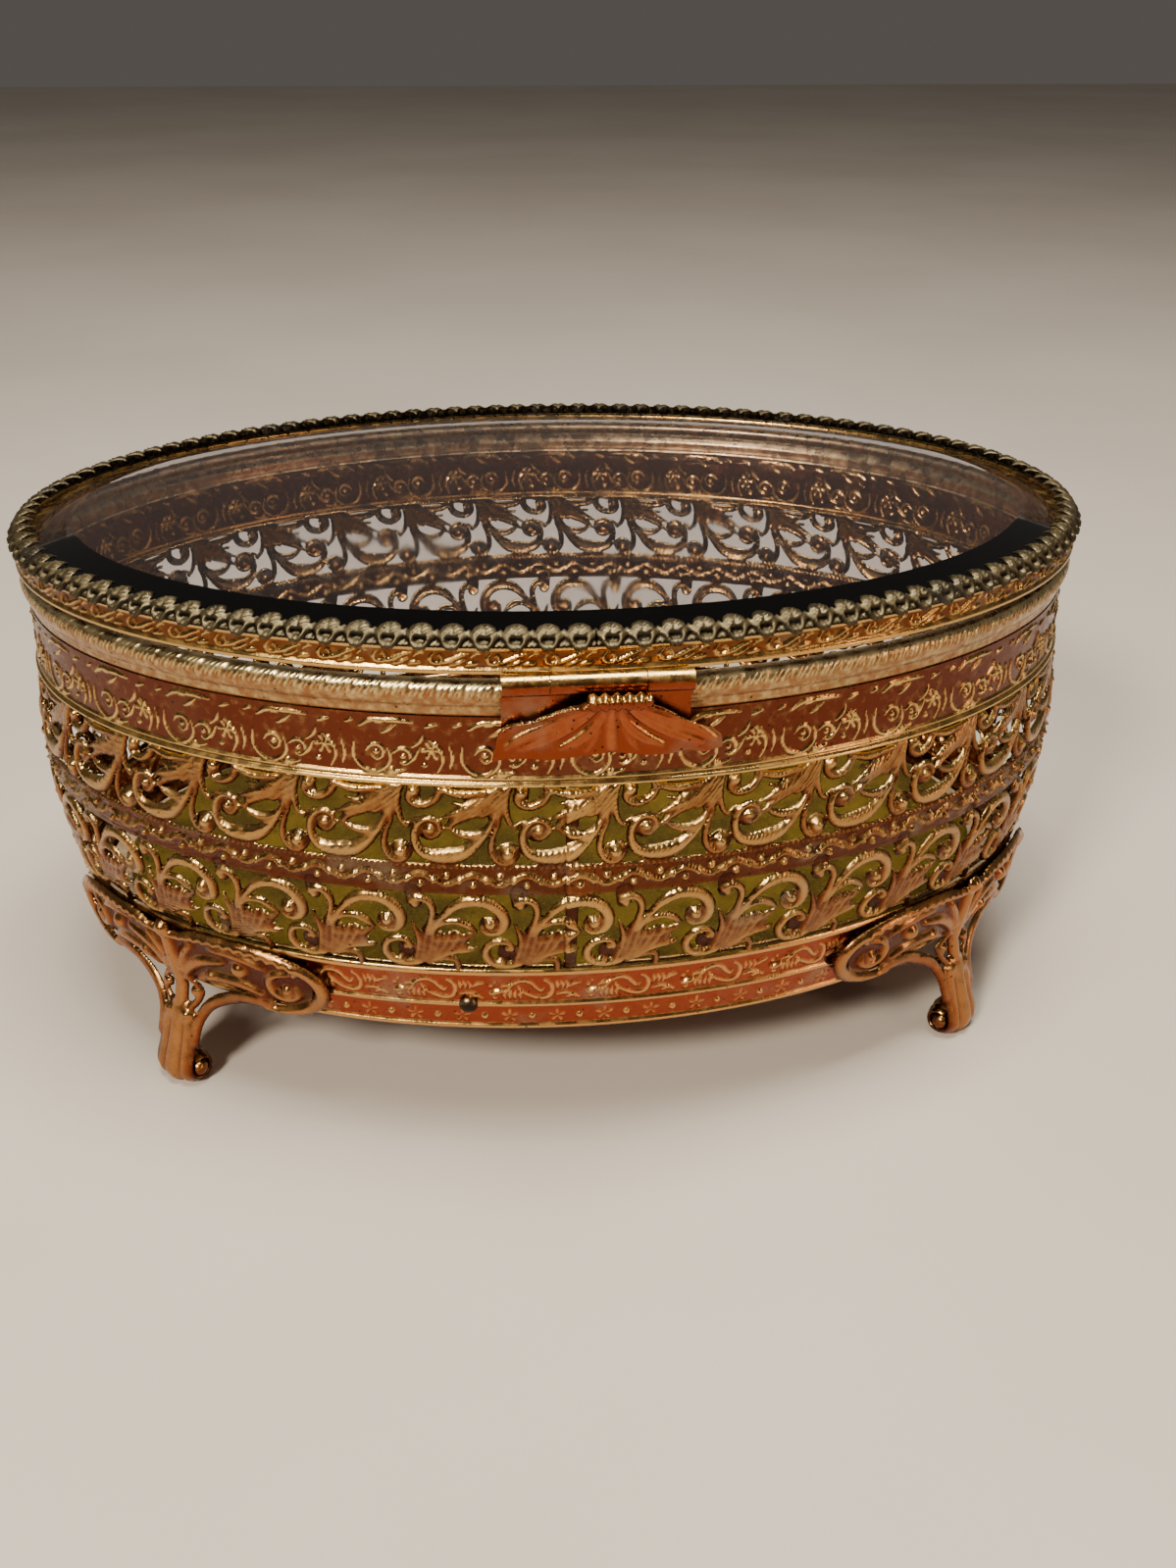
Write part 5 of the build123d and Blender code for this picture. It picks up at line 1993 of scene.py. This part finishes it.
# ---- Floor and lining ----------------------------------------------------------------------------
@dataclass
class Lining(Maker):
    """The floor of the casket and the velvet pad on it."""

    half: tuple[float, float] = (80.4, 53.1)
    low: float = 21.15
    high: float = 24.5
    cap: float = 0.6
    voxel: float = 2.0
    pressure: float = 4.0
    frames: int = 20

    def blank(self) -> bpy.types.Object:
        """A flat pad with soft sides, a little smaller than it will be when filled.

        Returns:
            The pad, before it swells.
        """
        depth = self.high - self.low
        turn = np.linspace(-np.pi / 2, np.pi / 2, 9)
        out, up = 0.5 * depth * (np.cos(turn) - 1.0), self.low + 0.5 * depth * (1 + np.sin(turn))
        shares = np.linspace(0.04, 1.0, 12)
        low = [(share, self.low) for share in shares[:-1]]
        side = [(1.0, z) for z in up]
        high = [(share, self.high) for share in shares[-2::-1]]
        share, level = np.array([*low, *side, *high]).T
        inward = np.concatenate([np.full(len(low), out[0]), out, np.full(len(high), out[-1])])
        t = np.linspace(0, 2 * np.pi, 193)[:-1]
        x = np.sin(t)[:, None] * (self.half[0] + inward) * share
        y = np.cos(t)[:, None] * (self.half[1] + inward) * share
        points = np.stack([x, y, np.broadcast_to(level, x.shape)], -1).reshape(-1, 3)
        n, m = len(t), len(level)
        return make_object(
            "velvet_pad", points, grid_faces(n, m, True, False, flip=True), *cap_faces(n, m, flip=True)
        )

    def swell(self, pad: bpy.types.Object) -> None:
        """Fills the pad by a cloth simulation with inner pressure, and caps how far any point may move.

        Args:
            pad: the pad.
        """
        scene = bpy.context.scene
        remesh = pad.modifiers.new("even", "REMESH")
        remesh.mode = "VOXEL"
        remesh.voxel_size = self.voxel * MM
        self.apply(pad)
        rest = np.empty(len(pad.data.vertices) * 3, np.float32)
        pad.data.vertices.foreach_get("co", rest)
        cloth = pad.modifiers.new("cloth", "CLOTH")
        cloth.settings.use_pressure = True
        cloth.settings.uniform_pressure_force = self.pressure
        cloth.settings.effector_weights.gravity = 0.0
        for number in range(1, self.frames + 1):
            scene.frame_set(number)
        self.apply(pad)
        scene.frame_set(1)
        moved = np.empty_like(rest)
        pad.data.vertices.foreach_get("co", moved)
        step = (moved - rest).reshape(-1, 3)
        far = np.linalg.norm(step, axis=1, keepdims=True)
        step *= np.minimum(1.0, self.cap * MM / np.maximum(far, 1e-9))
        points = rest.reshape(-1, 3) + step
        points[:, 2] = np.maximum(points[:, 2], self.low * MM)
        pad.data.vertices.foreach_set("co", points.astype(np.float32).ravel())
        pad.data.update()
        round_off = pad.modifiers.new("round", "SUBSURF")
        round_off.levels = round_off.render_levels = 1

    def apply(self, obj: bpy.types.Object) -> None:
        """Makes what the modifiers give the mesh itself.

        Args:
            obj: the piece, left without modifiers.
        """
        graph = bpy.context.evaluated_depsgraph_get()
        mesh = bpy.data.meshes.new_from_object(obj.evaluated_get(graph))
        obj.modifiers.clear()
        obj.data = mesh
        mesh.polygons.foreach_set("use_smooth", np.ones(len(mesh.polygons), bool))

    def build(self) -> None:
        """Makes the pad and dresses the floor, the card and the rivets."""
        pad = self.blank()
        self.swell(pad)
        self.add(pad, Body.CASKET, Finish.VELVET, "lining_pad")
        self.keep("floor_plate", Finish.BAND)
        self.keep("pad_board", Finish.CARD)
        self.keep("floor_rivets", Finish.RIVET)


# ---- Studio --------------------------------------------------------------------------------------
@dataclass
class Studio:
    """Pale floor, soft lights and the camera."""

    eye: tuple[float, float, float] = (22.77, 261.90, 168.75)
    look: tuple[float, float, float] = (-0.0972, -0.8818, -0.4614)
    yaw: float = 6.29
    roll: float = 0.25
    lens: float = 36.02

    def floor(self) -> None:
        """Makes the floor."""
        reach = 2500.0
        corners = np.array(
            [(-reach, -reach, 0.0), (reach, -reach, 0.0), (reach, reach, 0.0), (-reach, reach, 0.0)]
        )
        obj = make_object("studio_floor", corners, np.array([[0, 1, 2, 3]]))
        obj.data.materials.append(Matt("studio_floor", "#d3ccc4", "#ccc4bb", 200.0, 0.7).material())

    def light(
        self, name: str, at: tuple[float, float, float], size: tuple[float, float], watts: float, colour: str
    ) -> None:
        """Adds a soft panel that faces the casket.

        Args:
            name: its name.
            at: its place in metres.
            size: its width and height in metres.
            watts: its power.
            colour: its colour.
        """
        lamp = bpy.data.lights.new(name, "AREA")
        lamp.shape = "RECTANGLE"
        lamp.size, lamp.size_y = size
        lamp.energy = watts
        lamp.color = linear(colour)[:3]
        obj = bpy.data.objects.new(name, lamp)
        obj.location = at
        obj.rotation_euler = (Vector((0.0, 0.0, 0.05)) - Vector(at)).to_track_quat("-Z", "Y").to_euler()
        bpy.context.scene.collection.objects.link(obj)

    def camera(self) -> None:
        """Places the camera from its eye, its line of sight and its small roll."""
        yaw, roll = math.radians(self.yaw), math.radians(self.roll)
        ahead = Vector(self.look).normalized()
        right = Vector((-math.cos(yaw), math.sin(yaw), 0.0))
        up = right.cross(ahead)
        turned = right * math.cos(roll) + up * math.sin(roll)
        upright = up * math.cos(roll) - right * math.sin(roll)
        data = bpy.data.cameras.new("camera")
        data.sensor_fit = "VERTICAL"
        data.sensor_height = 36.0
        data.sensor_width = 36.0
        data.lens = self.lens
        data.clip_start = 0.01
        obj = bpy.data.objects.new("camera", data)
        rotation = Matrix((turned, upright, -ahead)).transposed().to_4x4()
        obj.matrix_world = Matrix.Translation(Vector(self.eye) * MM) @ rotation
        bpy.context.scene.collection.objects.link(obj)
        bpy.context.scene.camera = obj

    def build(self) -> None:
        """Sets up the whole studio."""
        self.floor()
        self.light("overhead", (-0.05, 0.1, 0.9), (0.45, 0.3), 10.0, "#fff6e6")
        self.light("key_left", (0.5, 0.8, 0.75), (0.2, 0.2), 15.0, "#fff0da")
        self.light("low_right", (-0.75, 0.6, 0.25), (0.12, 0.4), 1.6, "#ffd2ae")
        world = bpy.data.worlds.new("studio")
        world.use_nodes = True
        background = world.node_tree.nodes["Background"]
        background.inputs["Color"].default_value = linear("#cfc6bc")
        background.inputs["Strength"].default_value = 0.15
        bpy.context.scene.world = world
        self.camera()


def main() -> None:
    """Builds every piece in order."""
    logging.basicConfig(level=logging.INFO, format="%(message)s")
    palette = Palette()
    Studio().build()
    for maker in (FiligreeWall, BaseBand, Collar, Rim, Legs, Hinge, Lining, Lid):
        maker(palette).build()


if __name__ == "__main__":
    main()
